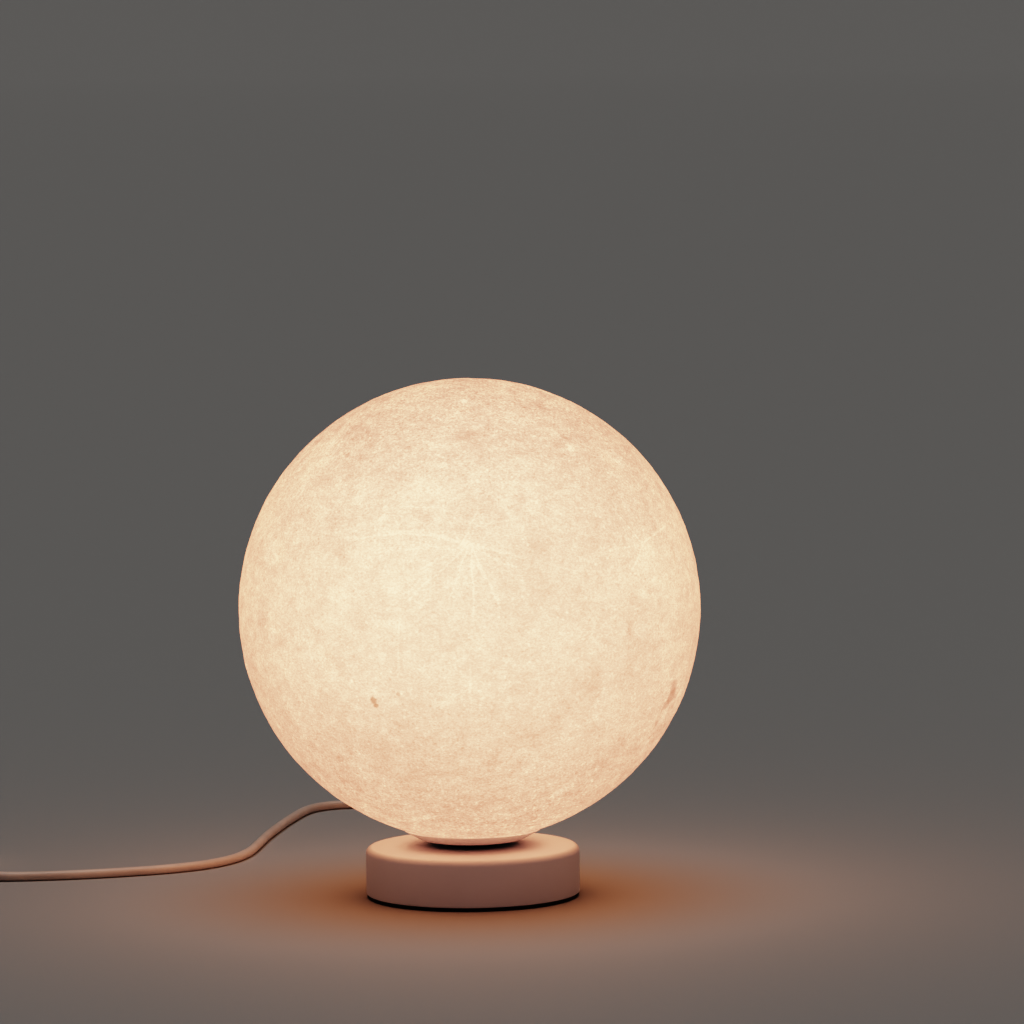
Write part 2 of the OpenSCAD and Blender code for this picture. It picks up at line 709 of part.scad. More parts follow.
module cord_bush() {
    grooves = [for (k = [0:relief_groove_count - 1]) let (
        t = (k + 1) / (relief_groove_count + 1),
        y = bush_out_y + bush_collar_t + (exit_y - bush_out_y - bush_collar_t) * t,
        r = relief_root_r + (relief_tip_r - relief_root_r) * t)
        each [[r, y - 1], [r - relief_groove, y - 0.6], [r - relief_groove, y + 0.6], [r, y + 1]]];
    color(white) translate([0, 0, exit_z]) rotate([-90, 0, 0]) rotate_extrude($fn = 48) polygon(concat(
        [[cord_r + thread_fit, bush_in_y - bush_flange_t], [bush_flange_r, bush_in_y - bush_flange_t],
         [bush_flange_r, bush_in_y], [bush_neck_r, bush_in_y], [bush_neck_r, bush_out_y],
         [bush_collar_r, bush_out_y], [bush_collar_r - 0.4, bush_out_y + bush_collar_t],
         [relief_root_r, bush_out_y + bush_collar_t]],
        grooves,
        [[relief_tip_r, exit_y], [cord_r + thread_fit, exit_y]]));
}

module clamp_bar_screws_at() {
    for (x = [-clamp_bar_screw_x, clamp_bar_screw_x])
        translate([x, clamp_bar_y + clamp_bar_l / 2, 0]) children();
}

module cord_clamp() {
    z = exit_z + cord_r + thread_fit;
    color(white) difference() {
        translate([-clamp_bar_w / 2, clamp_bar_y, z]) cube([clamp_bar_w, clamp_bar_l, clamp_bar_t]);
        clamp_bar_screws_at() translate([0, 0, z - overshoot])
            cylinder(r = clamp_bar_screw_r + fit, h = clamp_bar_t + 2 * overshoot, $fn = 24);
    }
}

module cord_clamp_screws() {
    top = exit_z + cord_r + thread_fit + clamp_bar_t;
    color(steel) clamp_bar_screws_at() difference() {
        union() {
            translate([0, 0, plate_top_z + 1.5])
                cylinder(r = clamp_bar_screw_r, h = top - plate_top_z - 1, $fn = 24);
            translate([0, 0, top]) screw_head(clamp_bar_head_r, clamp_bar_head_h);
        }
        cross_slot(top + clamp_bar_head_h, clamp_bar_head_r * 1.2);
    }
}

module inner_flex() {
    color(white) along_y(sheath_end_y, exit_z) cylinder(r = cord_r, h = exit_y - sheath_end_y, $fn = 48);
}

// Lamp holder ---------------------------------------------------------------

module holder_cap() {
    color(black) rotate_extrude() polygon(concat(
        [[pipe_hole_r, holder_z], [cap_foot_r, holder_z], [cap_foot_r + 0.8, holder_z + 1.5]],
        arc([cap_foot_r + 0.8, insert_z], holder_r - cap_foot_r - 0.8, -60, 0, 6),
        [[holder_r, cap_top_z], [nest_r + fit, cap_top_z], [nest_r + fit, insert_z - fit],
         [insert_ledge_r, insert_z - fit], [insert_ledge_r - 1, insert_z - 3.5],
         [cap_foot_r - 1, holder_z + cap_floor_t], [pipe_hole_r, holder_z + cap_floor_t]]));
}

module holder_skirt() {
    ring_z = skirt_top_z - 2 - skirt_ring_pitch * skirt_ring_count;
    grooves = [for (k = [0:skirt_ring_count - 1]) let (z = ring_z + skirt_ring_pitch * k)
        each [[holder_r, z], [holder_r - skirt_ring_depth, z + 0.6],
              [holder_r - skirt_ring_depth, z + 1.2], [holder_r, z + 1.8]]];
    color(black) rotate_extrude() polygon(concat(
        [[skirt_in_r, insert_z], [nest_r, insert_z], [nest_r, cap_top_z + fit], [holder_r, cap_top_z + fit]],
        grooves,
        [[holder_r, skirt_top_z - 0.8], [holder_r - 0.8, skirt_top_z], [skirt_in_r, skirt_top_z]]));
}

module holder_insert() {
    color(ceramic) difference() {
        rotate_extrude() polygon([[0, insert_z], [insert_r, insert_z], [insert_r, insert_top_z],
            [tower_r, insert_top_z], [tower_r, tower_top_z], [tower_bore_r, tower_top_z],
            [tower_bore_r, insert_top_z], [0, insert_top_z]]);
        for (x = [-lead_hole_x, lead_hole_x]) translate([x, 0, insert_z - overshoot])
            cylinder(r = core_r + running, h = lead_hole_depth + overshoot, $fn = 24);
    }
}

module holder_screw_shell() {
    wave = [for (k = [0:2 * shell_turns]) [shell_r + shell_wave * (k % 2), insert_top_z + shell_t + 0.7
        + k * thread_pitch / 2]];
    color(brass) rotate_extrude() polygon(concat(
        [[shell_hole_r, insert_top_z], [shell_r + shell_t, insert_top_z]],
        [for (p = wave) p + [shell_t, 0]],
        [for (k = [len(wave) - 1:-1:0]) wave[k]],
        [[shell_r, insert_top_z + shell_t], [shell_hole_r, insert_top_z + shell_t]]));
}

module holder_contact() {
    leaf = [[-3.2, 0], [-1.2, 0], [0.2, contact_rise - contact_t], [2, contact_rise - contact_t],
        [2, contact_rise], [0, contact_rise], [-1.4, contact_t], [-3.2, contact_t]];
    color(brass) translate([0, contact_w / 2, insert_top_z]) rotate([90, 0, 0])
        linear_extrude(contact_w) polygon(leaf);
}

// Bulb ----------------------------------------------------------------------

module bulb_cap() {
    thread = [for (k = [0:2 * bulb_thread_turns]) [bulb_cap_r - 0.45 * ((k + 1) % 2),
        bulb_shell_z + 1 + k * thread_pitch / 2]];
    color(steel) rotate_extrude() polygon(concat(
        [[0, bulb_shell_z], [bulb_cap_r - 0.6, bulb_shell_z]], thread,
        [[bulb_cap_r - 0.45, bulb_shell_top_z], [0, bulb_shell_top_z]]));
}

module bulb_cap_glass() {
    color(black) translate([0, 0, tip_z + tip_h])
        cylinder(r1 = tip_r + 0.8, r2 = bulb_cap_r - 0.7, h = cap_glass_h);
}

module bulb_tip_contact() {
    color(brass) translate([0, 0, tip_z]) cylinder(r1 = tip_r - 0.6, r2 = tip_r, h = tip_h, $fn = 32);
}

module bulb_housing() {
    flare = [for (k = [0:8]) let (t = k / 8)
        [bulb_neck_r + (housing_top_r - bulb_neck_r) * pow(sin(90 * t), 1.3),
         housing_z + 1.5 + (bulb_housing_h - 3) * t]];
    color(white) rotate_extrude() polygon(concat(
        [[0, housing_z], [bulb_neck_r - 0.5, housing_z]], flare, [[housing_top_r, dome_z], [0, dome_z]]));
}

module bulb_led_board() {
    color(white) translate([0, 0, dome_z]) {
        cylinder(r = board_r, h = board_t);
        around(chip_count, board_r * 0.66)
            translate([-chip_size / 2, -chip_size / 2, board_t / 2])
            cube([chip_size, chip_size, board_t / 2 + chip_t]);
    }
}

// Outline of the dome, from its foot to its tip, drawn in by inset all round
function dome_line(inset) = concat(
    [for (k = [0:3]) let (a = -dome_foot_deg * (1 - k / 4))
        [(bulb_r - inset) * cos(a), dome_z + dome_belly_h + dome_low_axis * sin(a)]],
    [for (k = [0:12]) let (a = 7.5 * k)
        [(bulb_r - inset) * cos(a), dome_z + dome_belly_h + (bulb_dome_h - dome_belly_h - inset) * sin(a)]]);

module bulb_dome() {
    inside = dome_line(dome_wall);
    color(moon) rotate_extrude()
        polygon(concat(dome_line(0), [for (k = [len(inside) - 1:-1:0]) inside[k]]));
}

// Lead, switch, coil and plug -----------------------------------------------

module flex_to_switch() {
    color(white) tube(smooth_path(flex_a, flex_steps), cord_r, flex_sides, Y, Y);
}

module flex_to_coil() {
    color(white) tube(smooth_path(flex_b, flex_steps), cord_r, flex_sides, Y, -X);
}

module flex_coil() {
    color(white) tube(coil_path, cord_r, coil_sides, -X, -Y);
}

module flex_to_plug() {
    color(white) tube(smooth_path(flex_c, flex_steps), cord_r, flex_sides, -Y, -Y);
}

module coil_tie() {
    r0 = coil_in_r - cord_r - tie_slack;
    r1 = tie_out_r + cord_r + tie_slack;
    z1 = coil_end_z + cord_r + tie_slack;
    color(black) translate([coil_at[0], coil_at[1], 0]) rotate([0, 0, tie_deg])
        translate([(r0 + r1) / 2, tie_w / 2, (z1 + tie_t) / 2]) rotate([90, 0, 0]) difference() {
            linear_extrude(tie_w)
                polygon(rounded_rect(r1 - r0 + 2 * tie_t, z1 + tie_t, tie_corner_r + tie_t, 4));
            translate([0, 0, -overshoot]) linear_extrude(tie_w + 2 * overshoot)
                polygon(rounded_rect(r1 - r0, z1 - tie_t, tie_corner_r, 4));
        }
}

// The closed outer form of the switch, from which both half cases are cut
module switch_form() {
    h0 = switch_h - switch_shoulder;
    l = switch_l;
    w = switch_w / 2;
    intersection() {
        translate([0, l / 2, 0]) linear_extrude(switch_h)
            polygon(rounded_rect(switch_w, l, switch_corner_r));
        translate([-w, 0, 0]) rotate([90, 0, 90]) linear_extrude(switch_w)
            polygon([[0, 0.8], [0.8, 0], [l - 0.8, 0], [l, 0.8], [l, h0], [l - 5, h0 + 2], [l - 18, switch_h],
                [18, switch_h], [5, h0 + 2], [0, h0]]);
        translate([0, l, 0]) rotate([90, 0, 0]) linear_extrude(l)
            polygon([[-w, 0.8], [0.8 - w, 0], [w - 0.8, 0], [w, 0.8], [w, switch_h - 2 * switch_edge],
                [w - 0.6 * switch_edge, switch_h - 0.6 * switch_edge], [w - 2 * switch_edge, switch_h],
                [2 * switch_edge - w, switch_h], [0.6 * switch_edge - w, switch_h - 0.6 * switch_edge],
                [-w, switch_h - 2 * switch_edge]]);
    }
}

module switch_cavity(z0, z1) {
    translate([0, switch_l / 2, z0]) linear_extrude(z1 - z0) polygon(rounded_rect(
        switch_w - 2 * switch_wall, switch_l - 2 * switch_grip, switch_corner_r - switch_grip, 4));
}

module switch_cord_holes() {
    along_y(-overshoot, switch_cord_z) cylinder(r = cord_r + fit, h = switch_l + 2 * overshoot, $fn = 48);
}

module switch_screws_at() {
    for (s = [-1, 1]) translate([s * switch_screw_x, switch_l / 2 + s * switch_screw_y, 0]) children();
}

module in_switch() {
    translate([switch_x, switch_front_y, 0]) children();
}

module switch_lower_case() {
    top = switch_split_z - fit / 2;
    color(white) in_switch() difference() {
        union() {
            difference() {
                intersection() {
                    switch_form();
                    translate([-switch_w, -overshoot, 0]) cube([2 * switch_w, switch_l + 2 * overshoot, top]);
                }
                switch_cavity(switch_wall, top + overshoot);
            }
            switch_screws_at() translate([0, 0, switch_wall / 2])
                cylinder(r = switch_post_r, h = top - switch_wall / 2, $fn = 32);
        }
        switch_cord_holes();
        switch_screws_at() {
            translate([0, 0, -overshoot]) cylinder(r = switch_screw_r + fit, h = switch_h, $fn = 24);
            translate([0, 0, -overshoot])
                cylinder(r = switch_head_r + fit, h = overshoot + 2 * switch_head_h, $fn = 24);
        }
    }
}

module switch_upper_case() {
    bottom = switch_split_z + fit / 2;
    open_w = rocker_w + 2 * running;
    open_l = rocker_l + 2 * running;
    color(white) in_switch() difference() {
        union() {
            difference() {
                intersection() {
                    switch_form();
                    translate([-switch_w, -overshoot, bottom])
                        cube([2 * switch_w, switch_l + 2 * overshoot, switch_h]);
                }
                switch_cavity(bottom - overshoot, switch_cavity_top_z);
            }
            switch_screws_at() translate([0, 0, bottom])
                cylinder(r = switch_post_r, h = switch_cavity_top_z - bottom + 0.5, $fn = 32);
        }
        switch_cord_holes();
        switch_screws_at() translate([0, 0, bottom - overshoot])
            cylinder(r = switch_screw_r + thread_fit, h = switch_cavity_top_z - bottom + overshoot, $fn = 24);
        translate([-open_w / 2, (switch_l - open_l) / 2, switch_cavity_top_z - overshoot])
            cube([open_w, open_l, switch_h]);
        translate([-rocker_w / 2 - pivot_l - running, switch_l / 2, pivot_z]) rotate([0, 90, 0])
            cylinder(r = pivot_r + thread_fit, h = rocker_w + 2 * (pivot_l + running), $fn = 32);
    }
}

module switch_rocker() {
    color(white) in_switch() translate([0, switch_l / 2, pivot_z]) rotate([-rocker_tilt, 0, 0]) {
        translate([-rocker_w / 2, 0, 0]) rotate([90, 0, 90]) linear_extrude(rocker_w) intersection() {
            circle(r = rocker_r);
            polygon([[-rocker_r, -rocker_drop], [rocker_r, -rocker_drop],
                [rocker_r, rocker_rise + rocker_r * tan(rocker_tilt)], [0, rocker_rise],
                [-rocker_r, rocker_rise + rocker_r * tan(rocker_tilt)]]);
        }
        translate([-rocker_w / 2 - pivot_l, 0, 0]) rotate([0, 90, 0])
            cylinder(r = pivot_r, h = rocker_w + 2 * pivot_l, $fn = 32);
    }
}

module switch_contacts() {
    color(brass) in_switch() for (s = [-1, 1]) translate([0, switch_l / 2 + s * stud_y, switch_wall])
        cylinder(r = stud_r, h = stud_top_z - switch_wall, $fn = 32);
}

module switch_screws() {
    color(steel) in_switch() switch_screws_at() difference() {
        union() {
            translate([0, 0, switch_head_h]) cylinder(r = switch_head_r, h = switch_head_h, $fn = 24);
            translate([0, 0, switch_head_h])
                cylinder(r = switch_screw_r, h = switch_cavity_top_z - 2 * switch_head_h, $fn = 24);
        }
        translate([0, 0, switch_head_h]) mirror([0, 0, 1]) cross_slot(0, switch_head_r);
    }
}

module in_plug() {
    translate([plug_x, plug_face_y, plug_z]) children();
}

module plug_body() {
    w = plug_w / 2;
    t = plug_t / 2;
    root_r = 4.8;
    tip_r = cord_r + 0.9;
    color(white) in_plug() difference() {
        union() {
            intersection() {
                translate([0, 0, -t]) linear_extrude(plug_t) polygon([[-w + 0.8, 0], [w - 0.8, 0], [w, 0.8],
                    [w, 14], [w - 2.5, 23], [w - 8, 31], [root_r, plug_l], [-root_r, plug_l], [8 - w, 31],
                    [2.5 - w, 23], [-w, 14], [-w, 0.8]]);
                translate([-w, 0, 0]) rotate([90, 0, 90]) linear_extrude(plug_w)
                    polygon([[0, 0.8 - t], [0.8, -t], [20, -t], [plug_l, -root_r], [plug_l, root_r],
                        [20, t], [0.8, t], [0, t - 0.8]]);
                translate([0, plug_l, 0]) rotate([90, 0, 0]) linear_extrude(plug_l)
                    polygon([[-w, -2.5], [-w, 2.5], [5 - w, t], [w - 5, t], [w, 2.5], [w, -2.5],
                        [w - 5, -t], [5 - w, -t]]);
            }
            along_y(plug_l - 0.5, 0) rotate_extrude($fn = 48) polygon(concat([[0, 0], [root_r - 0.3, 0]],
                [for (k = [0:4]) let (
                    y = 2.5 + 3.4 * k,
                    r = root_r - 0.3 + (tip_r - root_r + 0.3) * y / plug_relief_l)
                    each [[r, y], [r - 0.5, y + 0.4], [r - 0.5, y + 1.4], [r, y + 1.8]]],
                [[tip_r, plug_relief_l + 0.5], [0, plug_relief_l + 0.5]]));
        }
        for (x = [-pin_spacing / 2, pin_spacing / 2]) translate([x, 0, 0]) along_y(-overshoot, 0)
            cylinder(r = pin_shank_r + thread_fit, h = plug_pin_seat + overshoot, $fn = 32);
    }
}

module plug_pins() {
    r = pin_d / 2;
    color(brass) in_plug() for (x = [-pin_spacing / 2, pin_spacing / 2]) translate([x, plug_pin_seat, 0])
        rotate([90, 0, 0]) rotate_extrude($fn = 32) polygon([[0, 0], [pin_shank_r, 0],
            [pin_shank_r, plug_pin_seat], [r, plug_pin_seat], [r, plug_pin_seat + pin_l - pin_edge],
            [r - pin_edge, plug_pin_seat + pin_l],
            [0, plug_pin_seat + pin_l]]);
}

// Lengths of the lead and the coil's least gap to itself, printed when all is drawn
coil_fine_step = 2;         // degrees between the points measured
coil_fine = [for (a = [0:coil_fine_step:2 * coil_half_deg]) coil_point(a)];
half_turn = 180 / coil_fine_step;
coil_gap = min([for (i = [0:5:len(coil_fine) - 1], j = [i + half_turn:len(coil_fine) - 1])
    norm(coil_fine[i] - coil_fine[j])]) - cord_d;

union() {
    echo(coil_least_gap = coil_gap);
    echo(lead_to_switch = path_length(smooth_path(flex_a, 8)),
        to_coil = path_length(smooth_path(flex_b, 8)), coil = path_length(coil_path),
        to_plug = path_length(smooth_path(flex_c, 8)));
}

moon_globe();
globe_cup();
globe_clamp_ring();
clamp_ring_screws();
base_housing();
seat_collar();
ballast_ring();
base_plate();
foot_pad();
base_plate_screws();
threaded_pipe();
pipe_nut();
pipe_washer();
terminal_block();
terminal_screws();
live_lead();
neutral_lead();
supply_cores();
cord_bush();
cord_clamp();
cord_clamp_screws();
inner_flex();
holder_cap();
holder_skirt();
holder_insert();
holder_screw_shell();
holder_contact();
bulb_cap();
bulb_cap_glass();
bulb_tip_contact();
bulb_housing();
bulb_led_board();
bulb_dome();
flex_to_switch();
switch_lower_case();
switch_upper_case();
switch_rocker();
switch_contacts();
switch_screws();
flex_to_coil();
flex_coil();
flex_to_plug();
coil_tie();
plug_body();
plug_pins();
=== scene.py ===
# %% [markdown]
# # A moon lamp
#
# The lamp is a moon-like shade that glows warm white. It sits on a shallow dish, the dish on a
# weighted round base, and a white lead leaves the base behind. The solids come from the packed
# model. What this lesson adds is what a maker sees last: relief, paint, plastic, metal and light.

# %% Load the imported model
import json
import math

import bpy
import numpy as np
from mathutils import Matrix, Vector, noise

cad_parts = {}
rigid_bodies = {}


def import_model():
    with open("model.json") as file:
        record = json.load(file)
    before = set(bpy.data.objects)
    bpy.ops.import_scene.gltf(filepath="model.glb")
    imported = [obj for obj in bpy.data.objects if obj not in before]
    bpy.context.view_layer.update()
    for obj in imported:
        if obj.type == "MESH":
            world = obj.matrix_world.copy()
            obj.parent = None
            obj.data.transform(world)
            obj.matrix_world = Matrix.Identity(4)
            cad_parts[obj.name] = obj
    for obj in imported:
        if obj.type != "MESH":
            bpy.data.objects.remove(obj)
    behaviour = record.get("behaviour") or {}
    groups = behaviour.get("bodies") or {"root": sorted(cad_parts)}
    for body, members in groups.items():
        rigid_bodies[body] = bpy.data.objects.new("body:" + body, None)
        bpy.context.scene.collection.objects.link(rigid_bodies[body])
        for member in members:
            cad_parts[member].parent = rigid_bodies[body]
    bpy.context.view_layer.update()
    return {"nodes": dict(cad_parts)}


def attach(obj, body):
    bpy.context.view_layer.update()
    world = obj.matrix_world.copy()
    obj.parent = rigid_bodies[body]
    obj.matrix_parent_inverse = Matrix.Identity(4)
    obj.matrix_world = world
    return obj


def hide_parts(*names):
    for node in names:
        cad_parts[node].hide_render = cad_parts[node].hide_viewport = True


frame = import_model()
nodes = frame["nodes"]
MM = 0.001
print("solids in the frame:", len(nodes))

# %% [markdown]
# ## Small helpers
#
# An operator acts on everything that is selected, so each one starts from an empty selection.
# A finished piece rides on a body of the model and names the finish that it takes.


# %% Helpers
def select_only(obj):
    for other in bpy.context.view_layer.objects:
        other.select_set(False)
    obj.select_set(True)
    bpy.context.view_layer.objects.active = obj
    return obj


def finish_piece(obj, body, replaced=(), material=None):
    """Hands a finished piece over to its body and the solids it stands for."""
    if material:
        obj.data.materials.clear()
        obj.data.materials.append(material)
    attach(obj, body)
    if replaced:
        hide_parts(*replaced)
    print("piece", obj.name, "on", body)
    return obj


# %% [markdown]
# ## The camera
#
# A long lens looks down by five degrees and is rolled by less than one, as the photograph was
# taken. The numbers come from the outline of the globe and of the base.

# %% Camera
LENS_MM, SENSOR_MM = 199.48, 36
YAW, PITCH, ROLL = math.radians(0.4424), math.radians(5.0379), math.radians(0.7)
CAMERA_PLACE = (0, -3.05348, 0.47806)
camera_data = bpy.data.cameras.new("camera")
camera_data.lens = LENS_MM
camera_data.sensor_width = SENSOR_MM
camera = bpy.data.objects.new("camera", camera_data)
bpy.context.scene.collection.objects.link(camera)
bpy.context.scene.camera = camera
turn = (Matrix.Rotation(-YAW, 4, "Z") @ Matrix.Rotation(math.pi / 2 - PITCH, 4, "X")
        @ Matrix.Rotation(-ROLL, 4, "Z"))
camera.matrix_world = Matrix.Translation(CAMERA_PLACE) @ turn
print("camera looks along", [round(x, 3) for x in turn @ Vector((0, 0, -1))])

# %% [markdown]
# ## The floor and the light
#
# The lamp lights itself, so the studio light is weak: a soft light from straight above, which
# the shade keeps off the base, and a faint cool fill from the front. The floor is pale and plain
# and rises in the distance, so that no horizon shows. It is stage and not part of the lamp.

# %% Floor
FLOOR_R, CORNER_R, CORNER_STEPS, WALL_H = 40.0, 30.0, 24, 4.0
bpy.ops.mesh.primitive_circle_add(vertices=128, radius=FLOOR_R, fill_type="NGON")
floor = select_only(bpy.context.object)
floor.name = "floor"
bpy.ops.object.mode_set(mode="EDIT")
bpy.ops.mesh.select_all(action="SELECT")
bpy.ops.mesh.region_to_loop()
reach, rise = FLOOR_R, 0.0
for step in range(1, CORNER_STEPS + 2):
    angle = math.pi / 2 * min(1, step / CORNER_STEPS)
    new_reach = FLOOR_R + CORNER_R * math.sin(angle)
    new_rise = CORNER_R * (1 - math.cos(angle)) + (WALL_H if step > CORNER_STEPS else 0)
    bpy.ops.mesh.extrude_region_move(TRANSFORM_OT_translate={"value": (0, 0, new_rise - rise)})
    bpy.ops.transform.resize(value=(new_reach / reach, new_reach / reach, 1),
                             center_override=(0, 0, 0))
    reach, rise = new_reach, new_rise
bpy.ops.object.mode_set(mode="OBJECT")
bpy.ops.object.shade_smooth_by_angle(angle=math.radians(30))
print("floor sweeps up to", round(rise, 2), "m at", round(reach, 2), "m")
floor_paint = bpy.data.materials.new("pale_floor")
floor_paint.use_nodes = True
floor_shader = floor_paint.node_tree.nodes["Principled BSDF"]
floor_shader.inputs["Base Color"].default_value = (0.38, 0.38, 0.38, 1)
floor_shader.inputs["Roughness"].default_value = 0.85
floor.data.materials.append(floor_paint)

# %% Light
scene = bpy.context.scene
scene.view_settings.view_transform = "Filmic"
scene.view_settings.look = "Very High Contrast"


def add_light(name, kind, energy, colour):
    light = bpy.data.lights.new(name, kind)
    light.energy = energy
    light.color = colour
    holder = bpy.data.objects.new(name, light)
    scene.collection.objects.link(holder)
    return holder


overhead = add_light("soft overhead light", "SUN", 0.8, (1.0, 0.97, 0.94))
overhead.data.angle = math.radians(45)
front = add_light("front fill", "AREA", 4, (0.62, 0.84, 1.0))
front.data.shape = "SQUARE"
front.data.size = 1.2
front.location = (0, -6.0, 1.0)
front.rotation_mode = "QUATERNION"
front.rotation_quaternion = (Vector((0, 0, 0.05)) - front.location).to_track_quat("-Z", "Y")
world = bpy.data.worlds.new("dim room")
world.use_nodes = True
world.node_tree.nodes["Background"].inputs["Color"].default_value = (0.9, 0.95, 1.0, 1)
world.node_tree.nodes["Background"].inputs["Strength"].default_value = 0.015
scene.world = world
print("lights:", overhead.name, "and", front.name)

# %% [markdown]
# ## The lead
#
# A mains lead is one length of flexible cable, about 1.8 m on a table lamp. It leaves the strain
# relief straight, comes down to the table and runs in loose curves to its switch. The rest is
# wound into a coil that a tie holds, and ends in the plug. A curve with a round bevel has the
# same thickness all along and keeps its own centre line, so it is drawn along the same points
# as the solid.

# %% Route helpers
CORD_D = 0.0052
TABLE_Z = 2.6  # millimetres: no point of the middle line lies lower


def smooth_route(points, steps):
    """A smooth line through the points, with its first and last point kept."""
    kept = [points[0]] + list(points) + [points[-1]]
    line = []
    for a, b, c, d in zip(kept, kept[1:], kept[2:], kept[3:]):
        a, b, c, d = (Vector(p) for p in (a, b, c, d))
        for k in range(steps):
            t = k / steps
            at = 0.5 * (2 * b + (c - a) * t + (2 * a - 5 * b + 4 * c - d) * t * t
                        + (3 * b - a - 3 * c + d) * t ** 3)
            line.append(Vector((at.x, at.y, max(at.z, TABLE_Z))))
    return line + [Vector(points[-1])]


def draw_cord(name, line_mm):
    """One open curve with a round bevel, through points in millimetres."""
    curve = bpy.data.curves.new(name, "CURVE")
    curve.dimensions = "3D"
    curve.bevel_depth = 1.0  # times each point's radius, so that the curve's box is exact
    curve.bevel_resolution = 4
    curve.use_fill_caps = True
    spline = curve.splines.new("POLY")
    spline.points.add(len(line_mm) - 1)
    for point, at in zip(spline.points, line_mm):
        point.co = (*(at * MM), 1)
        point.radius = CORD_D / 2
    spline.use_smooth = True
    cord = bpy.data.objects.new(name, curve)
    bpy.context.scene.collection.objects.link(cord)
    return cord


def line_length(line_mm):
    return sum((b - a).length for a, b in zip(line_mm, line_mm[1:])) * MM


# %% The lead from the base to the switch
LAMP_TO_SWITCH = [
    (0, 82, 11), (0, 87, 11), (0, 98, 10), (0, 110, 7.6), (-1, 122, 5), (-3, 136, 3.2),
    (-6, 152, 2.6), (-11, 174, 2.6), (-16, 198, 2.6), (-22, 224, 2.6), (-28, 250, 2.6),
    (-35, 278, 2.6), (-40, 300, 2.6), (-43, 317, 2.6), (-47, 331, 2.6), (-57, 341, 2.6),
    (-71, 345, 2.6), (-85, 341, 2.6), (-95, 331, 2.6), (-101, 316, 2.6), (-106, 294, 2.6),
    (-111, 269, 2.6), (-115, 245, 2.6), (-119, 220, 2.6), (-122, 196, 2.6), (-125, 171, 2.6),
    (-129, 148, 2.6), (-137, 126, 2.6), (-151, 107, 2.6), (-170, 94, 2.6), (-192, 85, 2.6),
    (-216, 78, 2.6), (-240, 74, 2.6), (-262, 73, 2.9), (-276, 77, 4), (-286, 88, 6),
    (-290, 101, 7.4), (-290, 108, 7.6), (-290, 116, 7.6)]
first_line = smooth_route(LAMP_TO_SWITCH, 8)
lead_to_switch = draw_cord("lead_to_switch", first_line)
print("lead to the switch:", round(line_length(first_line), 4), "m")

# %% The lead from the switch, through the coil, to the plug
SWITCH_TO_COIL = [
    (-290, 170, 7.6), (-290, 175, 7.6), (-290, 180, 7.6), (-294, 193, 6.2), (-303, 203, 4.2),
    (-317, 207, 3.4), (-330, 207.2, 3.5), (-342.8, 207.2, 3.5)]
COIL_TO_PLUG = [(-384.225, 165.8, 9.25), (-384.225, 159.8, 9), (-384, 150, 7.6), (-384, 140, 7)]
COIL_AT, COIL_IN_R, COIL_PITCH, COIL_RISE = (-348, 171), 21, 5.8, 5.75
HALF_DEG, COIL_LOW_Z = 945, 3.5


def coil_line(step_deg):
    """Spirals in on the table, climbs in half a turn, and spirals out again on top."""
    line = []
    for a in range(0, 2 * HALF_DEG + 1, step_deg):
        r = COIL_IN_R + COIL_PITCH * abs(a - HALF_DEG) / 360
        u = min(1, max(0, (a - HALF_DEG + 90) / 180))
        angle = math.radians(90 + a)
        line.append(Vector((COIL_AT[0] + r * math.cos(angle), COIL_AT[1] + r * math.sin(angle),
                            COIL_LOW_Z + COIL_RISE * u * u * (3 - 2 * u))))
    return line


second_line = smooth_route(SWITCH_TO_COIL, 8) + coil_line(9) + smooth_route(COIL_TO_PLUG, 8)
lead_to_plug = draw_cord("lead_to_plug", second_line)
print("lead to the plug:", round(line_length(second_line), 4), "m")

finish_piece(lead_to_switch, "base", ["flex_to_switch"])
finish_piece(lead_to_plug, "base", ["flex_to_coil", "flex_coil", "flex_to_plug"])

# %% [markdown]
# ## Shared effects
#
# Three effects return in every finish: a slow drift between two tones, a roughness that is not
# even, and a fine grain. Two more draw single marks on the shade: a round spot and a straight
# ray. Each is a node group, so a material only gives it values.


# %% Node helpers
FLOAT, COLOUR, VECTOR = "NodeSocketFloat", "NodeSocketColor", "NodeSocketVector"


def new_group(name, inputs, outputs):
    group = bpy.data.node_groups.new(name, "ShaderNodeTree")
    for label, kind, value in inputs:
        socket = group.interface.new_socket(label, in_out="INPUT", socket_type=kind)
        socket.default_value = value
    for label, kind in outputs:
        group.interface.new_socket(label, in_out="OUTPUT", socket_type=kind)
    return group, group.nodes.new("NodeGroupInput").outputs, group.nodes.new("NodeGroupOutput")


def feed(tree, node, values):
    """Gives inputs of a node plain values or the outputs of other nodes."""
    for place, value in values.items():
        if isinstance(value, bpy.types.NodeSocket):
            tree.links.new(value, node.inputs[place])
        else:
            node.inputs[place].default_value = value
    return node


def math_node(tree, operation, *values):
    node = tree.nodes.new("ShaderNodeMath")
    node.operation = operation
    return feed(tree, node, dict(enumerate(values))).outputs["Value"]


def vector_node(tree, operation, *values):
    node = tree.nodes.new("ShaderNodeVectorMath")
    node.operation = operation
    feed(tree, node, dict(enumerate(values)))
    return node.outputs["Value" if operation in ("DISTANCE", "DOT_PRODUCT") else "Vector"]


def range_node(tree, value, start, full, low=0.0, high=1.0, soft=False):
    """Spreads the values from start to full over low to high, and holds them beyond."""
    node = tree.nodes.new("ShaderNodeMapRange")
    node.interpolation_type = "SMOOTHSTEP" if soft else "LINEAR"
    return feed(tree, node, {"Value": value, "From Min": start, "From Max": full,
                             "To Min": low, "To Max": high}).outputs["Result"]


def object_place(tree):
    return tree.nodes.new("ShaderNodeTexCoord").outputs["Object"]


